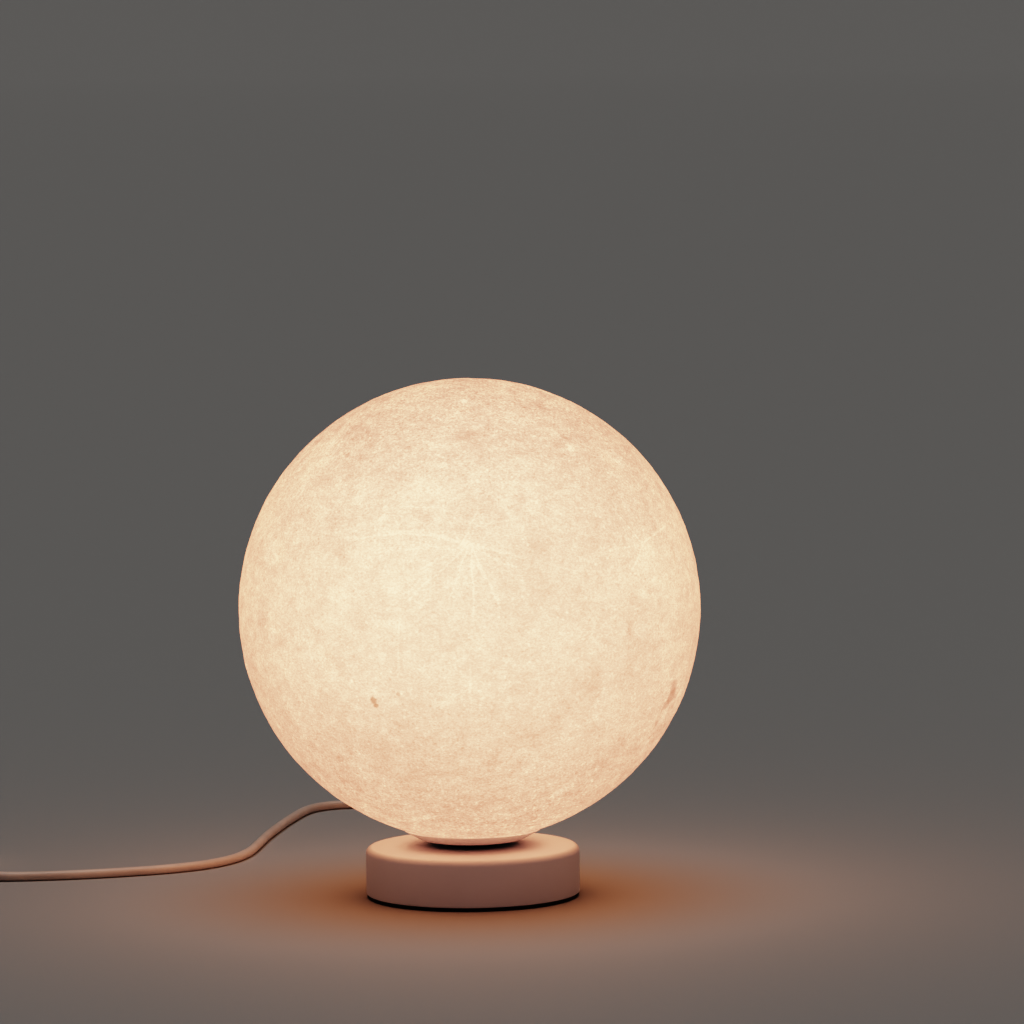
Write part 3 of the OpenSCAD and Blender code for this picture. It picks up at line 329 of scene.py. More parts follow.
def noise_node(tree, place, scale, detail, rough):
    return feed(tree, tree.nodes.new("ShaderNodeTexNoise"),
                {"Vector": place, "Scale": scale, "Detail": detail, "Roughness": rough})


# %% Groups of every finish
tone_group, given, made = new_group(
    "two tones", [("Dark", COLOUR, (0, 0, 0, 1)), ("Light", COLOUR, (1, 1, 1, 1)),
                  ("Scale", FLOAT, 40)], [("Color", COLOUR)])
drift = noise_node(tone_group, object_place(tone_group), given["Scale"], 4, 0.6)
mix = tone_group.nodes.new("ShaderNodeMix")
mix.data_type = "RGBA"
feed(tone_group, mix, {"Factor": range_node(tone_group, drift.outputs["Fac"], 0.32, 0.68),
                       "A": given["Dark"], "B": given["Light"]})
feed(tone_group, made, {"Color": mix.outputs["Result"]})

rough_group, given, made = new_group(
    "uneven gloss", [("Low", FLOAT, 0.3), ("High", FLOAT, 0.5), ("Scale", FLOAT, 90)],
    [("Roughness", FLOAT)])
drift = noise_node(rough_group, object_place(rough_group), given["Scale"], 5, 0.65)
feed(rough_group, made, {"Roughness": range_node(rough_group, drift.outputs["Fac"], 0.3, 0.7,
                                                 given["Low"], given["High"])})

grain_group, given, made = new_group(
    "fine grain", [("Scale", FLOAT, 1500), ("Pits", FLOAT, 0.3)], [("Height", FLOAT)])
bumps = noise_node(grain_group, object_place(grain_group), given["Scale"], 3, 0.55)
pit = feed(grain_group, grain_group.nodes.new("ShaderNodeTexVoronoi"),
           {"Vector": object_place(grain_group), "Scale": given["Scale"]})
blend = feed(grain_group, grain_group.nodes.new("ShaderNodeMix"),
             {"Factor": given["Pits"], "A": bumps.outputs["Fac"], "B": pit.outputs["Distance"]})
feed(grain_group, made, {"Height": blend.outputs["Result"]})
print("node groups:", [group.name for group in bpy.data.node_groups])


# %% Groups of single marks
def narrowing(tree, distance, edge, core):
    """Zero at the edge and farther, one within its core, which is given as a share of it."""
    return range_node(tree, distance, edge, math_node(tree, "MULTIPLY", edge, core), soft=True)


spot_group, given, made = new_group(
    "spot", [("Place", VECTOR, (0, 0, 0)), ("Centre", VECTOR, (0, -1, 0)),
             ("Radius", FLOAT, 0.02), ("Strength", FLOAT, 1)], [("Mask", FLOAT)])
reach = vector_node(spot_group, "DISTANCE", given["Place"], given["Centre"])
inner = narrowing(spot_group, reach, given["Radius"], 0.45)
feed(spot_group, made, {"Mask": math_node(spot_group, "MULTIPLY", inner, given["Strength"])})

ray_group, given, made = new_group(
    "ray", [("Place", VECTOR, (0, 0, 0)), ("Across", VECTOR, (0, 0, 1)),
            ("Middle", VECTOR, (0, -1, 0)), ("Reach", FLOAT, 0.1), ("Width", FLOAT, 0.006),
            ("Strength", FLOAT, 1)], [("Mask", FLOAT)])
aside = vector_node(ray_group, "DOT_PRODUCT", given["Place"], given["Across"])
thin = narrowing(ray_group, math_node(ray_group, "ABSOLUTE", aside), given["Width"], 0.1)
along = vector_node(ray_group, "DISTANCE", given["Place"], given["Middle"])
ends = narrowing(ray_group, along, given["Reach"], 0.7)
both = math_node(ray_group, "MULTIPLY", thin, ends)
feed(ray_group, made, {"Mask": math_node(ray_group, "MULTIPLY", both, given["Strength"])})
print("node groups:", [group.name for group in bpy.data.node_groups])


# %% [markdown]
# ## One recipe for a finish
#
# Paint, plastic, rubber and metal differ in a few values only: two close tones, the range of the
# gloss, the size and depth of the grain, and whether the surface is metal.


# %% Finish recipe
def put_group(tree, group, values):
    node = tree.nodes.new("ShaderNodeGroup")
    node.node_tree = group
    return feed(tree, node, values)


def bump_normal(tree, height, depth_mm):
    bump = tree.nodes.new("ShaderNodeBump")
    return feed(tree, bump, {"Height": height, "Distance": depth_mm * MM}).outputs["Normal"]


def make_finish(name, dark, light, gloss, grain, tone_scale=40, pits=0.3, metallic=0.0,
                **sockets):
    """gloss is the lowest and highest roughness, grain is its size and its depth in mm."""
    material = bpy.data.materials.new(name)
    material.use_nodes = True
    tree = material.node_tree
    tones = put_group(tree, tone_group, {"Dark": (*dark, 1), "Light": (*light, 1),
                                         "Scale": tone_scale})
    uneven = put_group(tree, rough_group, {"Low": gloss[0], "High": gloss[1]})
    fine = put_group(tree, grain_group, {"Scale": 1000 / grain[0], "Pits": pits})
    feed(tree, tree.nodes["Principled BSDF"], {
        "Base Color": tones.outputs["Color"], "Roughness": uneven.outputs["Roughness"],
        "Normal": bump_normal(tree, fine.outputs["Height"], grain[1]), "Metallic": metallic,
        **{label.replace("_", " "): value for label, value in sockets.items()}})
    return material


# %% Finishes
FINISHES = {
    "white_paint": make_finish("powder_coat", (0.82, 0.79, 0.84), (0.86, 0.83, 0.88),
                               (0.50, 0.62), (1.6, 0.02), tone_scale=14),
    "black_plastic": make_finish("black_moulded", (0.016, 0.016, 0.017), (0.028, 0.028, 0.030),
                                 (0.42, 0.55), (0.5, 0.02)),
    "black_foam": make_finish("black_foam_rubber", (0.012, 0.011, 0.010), (0.03, 0.028, 0.026),
                              (0.82, 0.95), (0.9, 0.12), pits=0.8),
    "zinc_steel": make_finish("zinc_plate", (0.50, 0.51, 0.53), (0.66, 0.67, 0.68),
                              (0.26, 0.44), (0.6, 0.006), tone_scale=260, metallic=1.0),
    "cast_iron": make_finish("cast_iron_raw", (0.045, 0.042, 0.040), (0.10, 0.095, 0.09),
                             (0.6, 0.85), (1.4, 0.12), tone_scale=120, metallic=0.6),
    "brass": make_finish("turned_brass", (0.62, 0.42, 0.16), (0.80, 0.60, 0.28),
                         (0.22, 0.40), (0.5, 0.006), tone_scale=180, metallic=1.0),
    "nickel": make_finish("nickel_plate", (0.58, 0.56, 0.52), (0.74, 0.72, 0.68),
                          (0.16, 0.30), (0.6, 0.004), tone_scale=160, metallic=1.0),
    "white_nylon": make_finish("white_moulded", (0.74, 0.73, 0.70), (0.82, 0.81, 0.78),
                               (0.34, 0.46), (0.7, 0.012), tone_scale=60),
    "white_cord": make_finish("white_sheath", (0.60, 0.50, 0.45), (0.68, 0.57, 0.51),
                              (0.36, 0.50), (0.8, 0.012), tone_scale=50),
    "brown_wire": make_finish("brown_sheath", (0.13, 0.05, 0.02), (0.20, 0.08, 0.035),
                              (0.35, 0.5), (0.6, 0.01)),
    "blue_wire": make_finish("blue_sheath", (0.02, 0.07, 0.32), (0.035, 0.11, 0.44),
                             (0.35, 0.5), (0.6, 0.01)),
    "white_ceramic": make_finish("fired_ceramic", (0.74, 0.72, 0.66), (0.86, 0.84, 0.80),
                                 (0.25, 0.6), (0.9, 0.02), tone_scale=90),
    "black_glass": make_finish("black_vitrite", (0.008, 0.008, 0.010), (0.02, 0.018, 0.02),
                               (0.08, 0.2), (1.2, 0.01)),
    "white_board": make_finish("board_mask", (0.76, 0.77, 0.76), (0.85, 0.86, 0.84),
                               (0.3, 0.42), (0.5, 0.008)),
    "opal_plastic": make_finish("opal_dome", (0.86, 0.85, 0.82), (0.92, 0.91, 0.88),
                                (0.3, 0.4), (0.8, 0.005),
                                Emission_Color=(1.0, 0.62, 0.34, 1), Emission_Strength=6.0),
}
print("finishes:", len(FINISHES))

# %% [markdown]
# ## The glow of the shade
#
# The shell is thin plastic with a bulb behind it. Where it is thin it glows brighter, where it is
# thick the light turns deeper and more orange. One number per point says how bright it is, and a
# colour ramp turns that number into light. A clear tinted coat over the light does what the
# plastic does at a slant: near the rim of the disc the way through it is longer.

# %% Places on the disc
GLOBE_AT = Vector((0, 0, 156.65))
GLOBE_R, INNER_R = 125.0, 122.6
PICTURE = 1024  # pixels of the photograph on each side
DISC_X, DISC_Y, DISC_R = 469.6, 608.7, 231.0  # pixels of the photograph
HALF, PIXEL = PICTURE / 2, SENSOR_MM / PICTURE / LENS_MM
CAMERA_AT = camera.matrix_world.to_translation() * 1000 - GLOBE_AT


def seen_at(right, up):
    """The direction of the point that is seen at a place on the disc, in units of its radius."""
    ray = turn @ Vector(((DISC_X + DISC_R * right - HALF) * PIXEL,
                         (HALF - DISC_Y + DISC_R * up) * PIXEL, -1))
    ray.normalize()
    near = -ray.dot(CAMERA_AT)
    inside = max(0.0, near * near - CAMERA_AT.length_squared + GLOBE_R ** 2)
    return np.array((CAMERA_AT + ray * (near - math.sqrt(inside))).normalized())


# Dark spots: place on the disc, radius and levels
MARKS = [(-0.53, 0.665, 0.018, 16), (-0.417, -0.398, 0.017, 38), (-0.408, -0.418, 0.014, 38),
         (-0.31, -0.37, 0.013, 18), (0.885, -0.34, 0.045, 18), (0.875, -0.38, 0.050, 20),
         (0.85, -0.42, 0.040, 15), (0.815, -0.50, 0.024, 20), (0.78, -0.56, 0.015, 14),
         (0.92, -0.22, 0.035, 8), (-0.57, -0.645, 0.015, 12), (-0.80, -0.41, 0.013, 12),
         (0.805, 0.345, 0.022, 9), (-0.89, 0.13, 0.016, 8), (-0.22, -0.80, 0.012, 10),
         (0.12, -0.83, 0.012, 9), (0.33, -0.78, 0.014, 9), (-0.45, -0.70, 0.012, 9),
         (0.58, -0.66, 0.013, 10)]
# Rays: thin bright lines that leave a young crater, as points on the disc, width and levels
RAYS = [([(-0.05, 0.285), (-0.15, 0.315), (-0.27, 0.33), (-0.50, 0.30)], 0.010, 8),
        ([(-0.08, 0.30), (-0.22, 0.34), (-0.36, 0.335)], 0.007, 6),
        ([(-0.30, 0.325), (-0.33, 0.40)], 0.007, 6), ([(-0.10, 0.27), (-0.42, 0.24)], 0.007, 5),
        ([(0.0, 0.28), (0.10, 0.255), (0.20, 0.23)], 0.009, 8),
        ([(0.02, 0.27), (0.14, 0.20), (0.24, 0.17)], 0.007, 6),
        ([(0.01, 0.27), (0.02, -0.04)], 0.007, 8), ([(0.01, 0.27), (0.13, 0.01)], 0.007, 8),
        ([(0.035, 0.20), (0.075, 0.12)], 0.008, 8), ([(-0.02, 0.26), (-0.25, 0.05)], 0.007, 7),
        ([(-0.01, 0.26), (-0.08, 0.05)], 0.006, 6), ([(-0.04, 0.27), (-0.20, 0.18)], 0.007, 6),
        ([(-0.30, -0.03), (-0.31, -0.30)], 0.008, 5), ([(0.0, -0.20), (0.01, -0.50)], 0.008, 5),
        ([(0.75, 0.28), (0.63, 0.43)], 0.008, 8), ([(0.75, 0.28), (0.85, 0.36)], 0.008, 8),
        ([(0.75, 0.28), (0.70, 0.16)], 0.007, 7), ([(0.75, 0.28), (0.60, 0.25)], 0.007, 6),
        ([(-0.03, 0.29), (0.03, 0.42)], 0.008, 6), ([(-0.05, 0.29), (-0.12, 0.44)], 0.008, 6),
        ([(-0.50, 0.10), (-0.40, -0.08)], 0.006, 5), ([(0.30, 0.02), (0.42, -0.14)], 0.006, 5)]

# %% Light of the shell
# Levels of green in the picture, and the light that shows as each of them
GLOW_RAMP = [
    (150, (0.63, 0.24, 0.13)), (180, (0.88, 0.37, 0.21)), (202, (1.21, 0.54, 0.31)),
    (219, (1.71, 0.80, 0.43)), (233, (2.6, 1.24, 0.58)), (240, (3.5, 1.7, 0.70))]
DARKEST, BRIGHTEST = GLOW_RAMP[0][0], GLOW_RAMP[-1][0]
LEVELS = BRIGHTEST - DARKEST
COAT_TINT = (0.59, 0.515, 0.57)
PEAK = 6.2  # strength of the light, of which the ramp's colours are shares
shell = bpy.data.materials.new("moon_shell_glow")
shell.use_nodes = True
tree = shell.node_tree
ramp = tree.nodes.new("ShaderNodeValToRGB")
while len(ramp.color_ramp.elements) < len(GLOW_RAMP):
    ramp.color_ramp.elements.new(0.5)
for stop, (green, colour) in zip(ramp.color_ramp.elements, GLOW_RAMP):
    stop.position = (green - DARKEST) / LEVELS
    stop.color = (*(c / t / PEAK for c, t in zip(colour, COAT_TINT)), 1)
print("ramp of", len(GLOW_RAMP), "colours over", LEVELS, "levels")


# %% Mottling of the shell
def flattened_noise(scale, detail, flat, kind="FBM", swirl=0.0, rough=1.0):
    """Noise on Object coordinates whose grains lie flat, as printed layers make them."""
    squeeze = feed(tree, tree.nodes.new("ShaderNodeMapping"),
                   {"Vector": object_place(tree), "Scale": (1, 1, flat)})
    node = noise_node(tree, squeeze.outputs["Vector"], scale, detail, rough)
    node.noise_type = kind
    return feed(tree, node, {"Distortion": swirl})


def sparse_spots(scale, reach, share):
    """Round spots, strong in a few cells and absent in the rest, as small craters are."""
    cells = feed(tree, tree.nodes.new("ShaderNodeTexVoronoi"),
                 {"Vector": object_place(tree), "Scale": scale})
    parts = feed(tree, tree.nodes.new("ShaderNodeSeparateColor"),
                 {"Color": cells.outputs["Color"]})
    near = range_node(tree, cells.outputs["Distance"], reach, SPOT_CORE * reach, soft=True)
    chosen = range_node(tree, parts.outputs["Red"], 1 - share, 1.0)
    return math_node(tree, "MULTIPLY", near, chosen)


def point_number(name):
    """The number that the mesh keeps under a name for each of its points."""
    node = tree.nodes.new("ShaderNodeAttribute")
    node.attribute_name = name
    return node.outputs["Fac"]


# Four scales: soft clouds, brushed streaks with dark hollows, bright flecks, and fine grit.
# Each has a strength and a mean value, which is taken off so that the whole keeps its level.
CLOUDS, BRUSHED, FLECKS = 0.17, 0.060, 0.065
CLOUDS_MEAN, BRUSHED_MEAN, FLECKS_MEAN, GRIT_MEAN = 0.5, 2.7, 1.0, 0.5
clouds = flattened_noise(95, 1, 1.3)
brushed = flattened_noise(60, 5, 2.0, "RIDGED_MULTIFRACTAL", 0.5, 0.9)
feed(tree, brushed, {"Lacunarity": 2.2, "Offset": 1.0, "Gain": 2.0})
flecks = flattened_noise(130, 4, 1.5, "MULTIFRACTAL", 0.3, 0.9)
grit = flattened_noise(680, 1, 1.7)
texture = math_node(tree, "MULTIPLY_ADD", brushed.outputs["Fac"], BRUSHED, grit.outputs["Fac"])
texture = math_node(tree, "MULTIPLY_ADD", flecks.outputs["Fac"], FLECKS, texture)
texture = math_node(tree, "SUBTRACT", texture,
                    GRIT_MEAN + BRUSHED * BRUSHED_MEAN + FLECKS * FLECKS_MEAN)
# Spots: cells per metre, reach in cells, share of the cells that have one, strength
SPOT_LAYERS = [(118, 0.34, 0.5, -0.16), (90, 0.30, 0.5, 0.20),
               (430, 0.42, 0.6, -0.26), (390, 0.42, 0.5, 0.26)]
SPOT_CORE = 0.3  # share of the reach over which a spot is full
for scale, reach, share, strength in SPOT_LAYERS:
    spots = sparse_spots(scale, reach, share)
    texture = math_node(tree, "MULTIPLY_ADD", spots, strength, texture)
cloudy = math_node(tree, "MULTIPLY_ADD", clouds.outputs["Fac"], CLOUDS, point_number("glow"))
glowing = math_node(tree, "MULTIPLY_ADD", texture, point_number("grit"), cloudy)
print("mottling takes", len(tree.nodes), "nodes")

# %% [markdown]
# ## Rays and dark spots
#
# They are finer than the cells of the mesh, so the material draws them. Noise pushes every place
# a little before it is measured, so that no edge is a clean circle or line.

# %% Rays and dark spots
RAGGED = 0.030  # size of that push, in units of the globe's radius
RAY_REACH = 0.62  # from a ray's middle to its ends, as a share of its length
RAY_GAIN = 1.2
ragged = flattened_noise(70, 3, 1.0, rough=0.7)
outward = vector_node(tree, "NORMALIZE",
                      vector_node(tree, "SUBTRACT", object_place(tree), GLOBE_AT * MM))
pushed = vector_node(tree, "MULTIPLY_ADD", ragged.outputs["Color"], (RAGGED,) * 3, outward)
pushed = vector_node(tree, "SUBTRACT", pushed, (RAGGED / 2,) * 3)
brightest_ray = None
for places, width, levels in RAYS:
    for start, end in zip(places, places[1:]):
        a, b = seen_at(*start), seen_at(*end)
        across, middle = np.cross(a, b), (a + b) / 2
        mask = put_group(tree, ray_group, {
            "Place": pushed, "Across": tuple(across / np.linalg.norm(across)),
            "Middle": tuple(middle / np.linalg.norm(middle)),
            "Reach": RAY_REACH * float(np.linalg.norm(a - b)), "Width": width,
            "Strength": RAY_GAIN * levels / LEVELS}).outputs["Mask"]
        brightest_ray = math_node(tree, "MAXIMUM", mask, brightest_ray) if brightest_ray else mask
glowing = math_node(tree, "ADD", glowing, brightest_ray)
for right, up, radius, levels in MARKS:
    mask = put_group(tree, spot_group, {
        "Place": pushed, "Centre": tuple(seen_at(right, up)), "Radius": radius,
        "Strength": levels / LEVELS}).outputs["Mask"]
    glowing = math_node(tree, "SUBTRACT", glowing, mask)
feed(tree, ramp, {"Fac": math_node(tree, "SUBTRACT", glowing, CLOUDS * CLOUDS_MEAN)})
feed(tree, tree.nodes["Principled BSDF"], {
    "Emission Color": ramp.outputs["Color"], "Emission Strength": PEAK,
    "Normal": bump_normal(tree, grit.outputs["Fac"], 0.25), "Base Color": (0.24, 0.20, 0.16, 1),
    "Roughness": 0.7, "Specular IOR Level": 0.2, "Coat Weight": 1.0, "Coat Roughness": 0.7,
    "Coat IOR": 1.2, "Coat Tint": (*COAT_TINT, 1)})
FINISHES["moon_shell"] = shell
print("shell material:", len(tree.nodes), "nodes")

# %% [markdown]
# ## The shade
#
# A globe made of longitude lines has its points crowded at two poles. A cube blown up to a ball
# has cells of one size everywhere, which is what fine relief needs. The shell starts as such a
# ball, is cut open at its mouth, and gets an inner wall.

# %% Blown-up cube
MOUTH_Z, MOUTH_IN_Z = 35.555, 38.03


def read_points(obj):
    flat = np.empty(len(obj.data.vertices) * 3, np.float32)
    obj.data.vertices.foreach_get("co", flat)
    return flat.reshape(-1, 3).astype(float)


def write_points(obj, points):
    obj.data.vertices.foreach_set("co", points.astype(np.float32).ravel())
    obj.data.update()


def cube_ball(name, cuts, radius_mm):
    """A ball from a cube whose faces are cut evenly, and widened so that all cells match."""
    bpy.ops.mesh.primitive_cube_add(size=2)
    ball = select_only(bpy.context.object)
    ball.name = name
    bpy.ops.object.mode_set(mode="EDIT")
    bpy.ops.mesh.select_all(action="SELECT")
    for count in cuts:
        bpy.ops.mesh.subdivide(number_cuts=count)
    bpy.ops.object.mode_set(mode="OBJECT")
    points = read_points(ball)
    points = np.tan(points * math.pi / 4)
    points /= np.linalg.norm(points, axis=1, keepdims=True)
    write_points(ball, (points * radius_mm + np.array(GLOBE_AT)) * MM)
    return ball


def cut_below(obj, z_mm):
    select_only(obj)
    bpy.ops.object.mode_set(mode="EDIT")
    bpy.ops.mesh.select_all(action="SELECT")
    bpy.ops.mesh.bisect(plane_co=(0, 0, z_mm * MM), plane_no=(0, 0, 1), clear_inner=True)
    bpy.ops.object.mode_set(mode="OBJECT")


moon = cube_ball("moon_shade", (29, 3), GLOBE_R)
inside = cube_ball("moon_inside", (27,), INNER_R)
print("shade starts with", len(moon.data.vertices), "points")

# %% [markdown]
# ## Relief and brightness
#
# The larger craters are the model's own, so they are pressed in by the same rule. Between them
# lie many small ones, drawn by a seeded generator, and a rough ground made of noise. The relief
# fades out where the shade sits in its dish.


# %% Directions on the shade
def direction(points_mm):
    rel = points_mm - np.array(GLOBE_AT)
    return rel / np.linalg.norm(rel, axis=1, keepdims=True)


def noise_field(dirs, scale, octaves, flatness, offset=0.0, stretch=(1, 1, 1)):
    """Fractal noise at each direction; a low flatness keeps the small waves strong."""
    factor = [scale * s for s in stretch]
    return np.array([noise.fractal((x * factor[0] + offset, y * factor[1] - offset,
                                    z * factor[2] + 2 * offset), flatness, 2.0, octaves)
                     for x, y, z in dirs])


def chord(dirs, axis):
    """How far each direction lies from an axis, in units of the radius."""
    return np.sqrt(np.maximum(0, 2 - 2 * (dirs @ axis)))


# %% Craters of the model
CRATER_COUNT, CRATER_DEPTH = 34, 0.9
TOP_SINE, SINE_SPAN = 0.96, 1.80  # the highest crater, and how far down the others reach
LON_STEP, SIZE_STEP = 137.508, 0.7549  # steps that keep craters from lining up
BALL_LEAST, BALL_SPAN = 16, 130
dirs = direction(read_points(moon) * 1000)
depth = np.zeros(len(dirs))
for i in range(CRATER_COUNT):
    lat = math.asin(TOP_SINE - SINE_SPAN * (i + 0.5) / CRATER_COUNT)
    lon = math.radians(LON_STEP * i)
    ball = BALL_LEAST + BALL_SPAN * ((SIZE_STEP * (i + 1)) % 1) ** 2
    axis = np.array((math.cos(lat) * math.cos(lon), math.cos(lat) * math.sin(lon), math.sin(lat)))
    far = GLOBE_R - CRATER_DEPTH + ball
    cos_a = dirs @ axis
    inside_ball = ball * ball - far * far * (1 - cos_a ** 2)
    near = (cos_a > 0.9) & (inside_ball > 0)
    surface = far * cos_a[near] - np.sqrt(inside_ball[near])
    depth[near] = np.maximum(depth[near], GLOBE_R - surface)
relief = -np.maximum(depth, 0)
print("craters of the model are up to", round(depth.max(), 2), "mm deep")

# %% Small craters and rough ground
SMALL_COUNT, SMALL_LEAST, SMALL_SPAN = 700, 1.6, 5.5
BOWL, RIM, RIM_WIDTH, RIM_END = 0.075, 0.035, 0.22, 1.8  # in units of a crater's radius
GROUND_MM = 0.16
rng = np.random.default_rng(11)
small = rng.normal(size=(SMALL_COUNT, 3))
small /= np.linalg.norm(small, axis=1, keepdims=True)
small_r = SMALL_LEAST + SMALL_SPAN * rng.random(SMALL_COUNT) ** 5
for axis, radius in zip(small, small_r):
    t = chord(dirs, axis) * GLOBE_R / radius
    near = t < RIM_END
    bowl = np.where(t[near] < 1, t[near] ** 2 - 1, 0)
    rim = np.exp(-((t[near] - 1) / RIM_WIDTH) ** 2)
    relief[near] += radius * (BOWL * bowl + RIM * rim)

ground = noise_field(dirs, 9, 5, 0.35)
relief += GROUND_MM * ground
print("relief from", round(relief.min(), 2), "to", round(relief.max(), 2), "mm")

# %% Brightness of the shell
# Levels of green by height, then patches: place on the disc, radius and levels
HEIGHT_GLOW = [(-1.0, 216), (-0.87, 216), (-0.76, 212), (-0.655, 212), (-0.44, 214),
               (0.0, 222), (0.3, 224), (0.6, 223), (0.75, 219), (0.95, 220), (1.0, 220)]
BRIGHT = [(-0.03, 0.28, 0.035, 9), (-0.20, 0.53, 0.09, 8), (-0.15, 0.68, 0.10, 5),
          (0.27, 0.55, 0.09, 5), (0.15, 0.82, 0.08, 4), (0.60, 0.65, 0.06, 4),
          (-0.35, 0.20, 0.26, 4), (-0.15, 0.10, 0.16, 3), (-0.60, 0.05, 0.07, 4),
          (-0.55, -0.35, 0.12, 3), (0.10, -0.05, 0.13, 3), (0.50, -0.10, 0.10, 3),
          (0.40, -0.60, 0.10, 4), (0.60, -0.47, 0.06, 4), (0.85, -0.30, 0.08, 4),
          (0.78, 0.20, 0.09, 6), (0.60, 0.17, 0.03, 5), (0.22, 0.38, 0.025, 5),
          (-0.65, 0.68, 0.14, 8), (-0.1, -0.3, 0.07, 5), (-0.1, 0.5, 0.07, 4),
          (-0.85, 0.45, 0.12, 4), (-0.45, -0.72, 0.08, 4), (0.92, -0.35, 0.12, 4),
          (0.80, -0.52, 0.10, 5), (-0.3, -0.28, 0.18, 4), (-0.86, -0.25, 0.22, 4),
          (0.89, 0.02, 0.03, 5), (-0.66, -0.20, 0.025, 5), (-0.13, -0.41, 0.025, 5),
          (-0.33, -0.56, 0.025, 5), (0.75, 0.30, 0.03, 6)]
DARK = [(0.25, 0.15, 0.13, 3), (-0.15, -0.12, 0.08, 3), (0.72, -0.12, 0.10, 4),
        (0.57, -0.30, 0.10, 4), (0.45, -0.45, 0.09, 3), (0.25, -0.52, 0.08, 3),
        (0.22, -0.55, 0.02, 5), (0.62, 0.52, 0.12, 4), (0.78, 0.42, 0.08, 4),
        (-0.33, -0.30, 0.05, 4), (-0.13, -0.47, 0.04, 4), (-0.40, -0.62, 0.18, 4),
        (-0.25, -0.72, 0.06, 4), (0.0, -0.85, 0.25, 3), (-0.65, 0.30, 0.10, 4),
        (0.3, 0.1, 0.2, 3), (0.05, -0.9, 0.2, 4), (0.5, -0.33, 0.08, 4),
        (-0.30, -0.60, 0.14, 6), (0.30, 0.87, 0.10, 3), (0.55, 0.60, 0.25, 3),
        (0.55, 0.15, 0.25, 3)]
glow = np.interp(dirs[:, 2], *zip(*HEIGHT_GLOW))
WARP = 0.035  # how far noise pushes the edges of the patches
wobble = np.stack([noise_field(dirs, 5, 3, 0.5, offset) for offset in (3, 11, 23)], axis=1)
warped = dirs + WARP * wobble
warped /= np.linalg.norm(warped, axis=1, keepdims=True)


def patch(axis, radius):
    """One in the middle of a patch, and about a third at its radius."""
    return np.exp(-(chord(warped, axis) / radius) ** 2)


for sign, patches in ((1, BRIGHT), (-1, DARK)):
    for right, up, radius, levels in patches:
        glow += sign * levels * patch(seen_at(right, up), radius)

# The far side was not seen: patches of the same kinds, from the same seeded generator
FAR_COUNT, FAR_FROM_Y = 90, 0.1
for k in range(FAR_COUNT):
    axis = rng.normal(size=3)
    axis /= np.linalg.norm(axis)
    radius, levels = (0.04 + 0.20 * rng.random(), 5) if k % 3 else (0.02, 14)
    if axis[1] > FAR_FROM_Y:
        glow += levels * (1 if k % 3 == 1 else -1) * patch(axis, radius)

# Dark streaks in a band near the top, slow drift, and the levels that ground and relief add
STREAK_LEVELS, STREAK_AT, STREAK_BAND = 9, 0.78, 0.09
DRIFT_LEVELS, GROUND_LEVELS, RELIEF_LEVELS = 3.0, 4.0, 3.0
streaks = noise_field(dirs, 6, 4, 0.6, 40, (1, 1, 5))
band = np.exp(-((dirs[:, 2] - STREAK_AT) / STREAK_BAND) ** 2)
glow -= STREAK_LEVELS * np.maximum(0, streaks) * band
glow += DRIFT_LEVELS * noise_field(dirs, 3, 3, 0.5, 5)
glow += GROUND_LEVELS * ground
glow -= RELIEF_LEVELS * relief
glow = (glow - DARKEST) / LEVELS
print("glow from", round(glow.min(), 2), "to", round(glow.max(), 2))


# %% Numbers for the points of the shell
def put_numbers(obj, name, values):
    """Keeps one number for each point, which the material reads by its name."""
    layer = obj.data.attributes.new(name, "FLOAT", "POINT")
    layer.data.foreach_set("value", values.astype(np.float32))


SINK_MM, DEEPEST_MM = 0.3, 1.6
FADE_START, FADE_END = (math.cos(math.radians(deg)) for deg in (18, 25))  # from the south pole
low_fade = np.clip((dirs[:, 2] + FADE_START) / (FADE_START - FADE_END), 0, 1)
height_mm = np.clip(relief - SINK_MM, -DEEPEST_MM, 0) * low_fade
write_points(moon, (dirs * (GLOBE_R + height_mm)[:, None] + np.array(GLOBE_AT)) * MM)
put_numbers(moon, "glow", glow)
put_numbers(moon, "grit", 0.48 + 0.40 * dirs[:, 2] ** 2)
for name, value in (("glow", 0.8), ("grit", 0.2)):
    put_numbers(inside, name, np.full(len(inside.data.vertices), value))
print("the shell sinks by up to", round(-height_mm.min(), 2), "mm")

# %% Close the shell
cut_below(moon, MOUTH_Z)
cut_below(inside, MOUTH_IN_Z)
select_only(inside)
bpy.ops.object.mode_set(mode="EDIT")
bpy.ops.mesh.select_all(action="SELECT")
bpy.ops.mesh.flip_normals()
bpy.ops.object.mode_set(mode="OBJECT")
inside.select_set(True)
moon.select_set(True)
bpy.context.view_layer.objects.active = moon
bpy.ops.object.join()
bpy.ops.object.mode_set(mode="EDIT")
bpy.ops.mesh.select_mode(type="EDGE")
bpy.ops.mesh.select_all(action="DESELECT")
bpy.ops.mesh.select_non_manifold()
bpy.ops.mesh.bridge_edge_loops()
bpy.ops.object.mode_set(mode="OBJECT")
bpy.ops.object.shade_smooth()
finish_piece(moon, "globe", ["moon_globe"], shell)
print("shade has", len(moon.data.polygons), "faces")
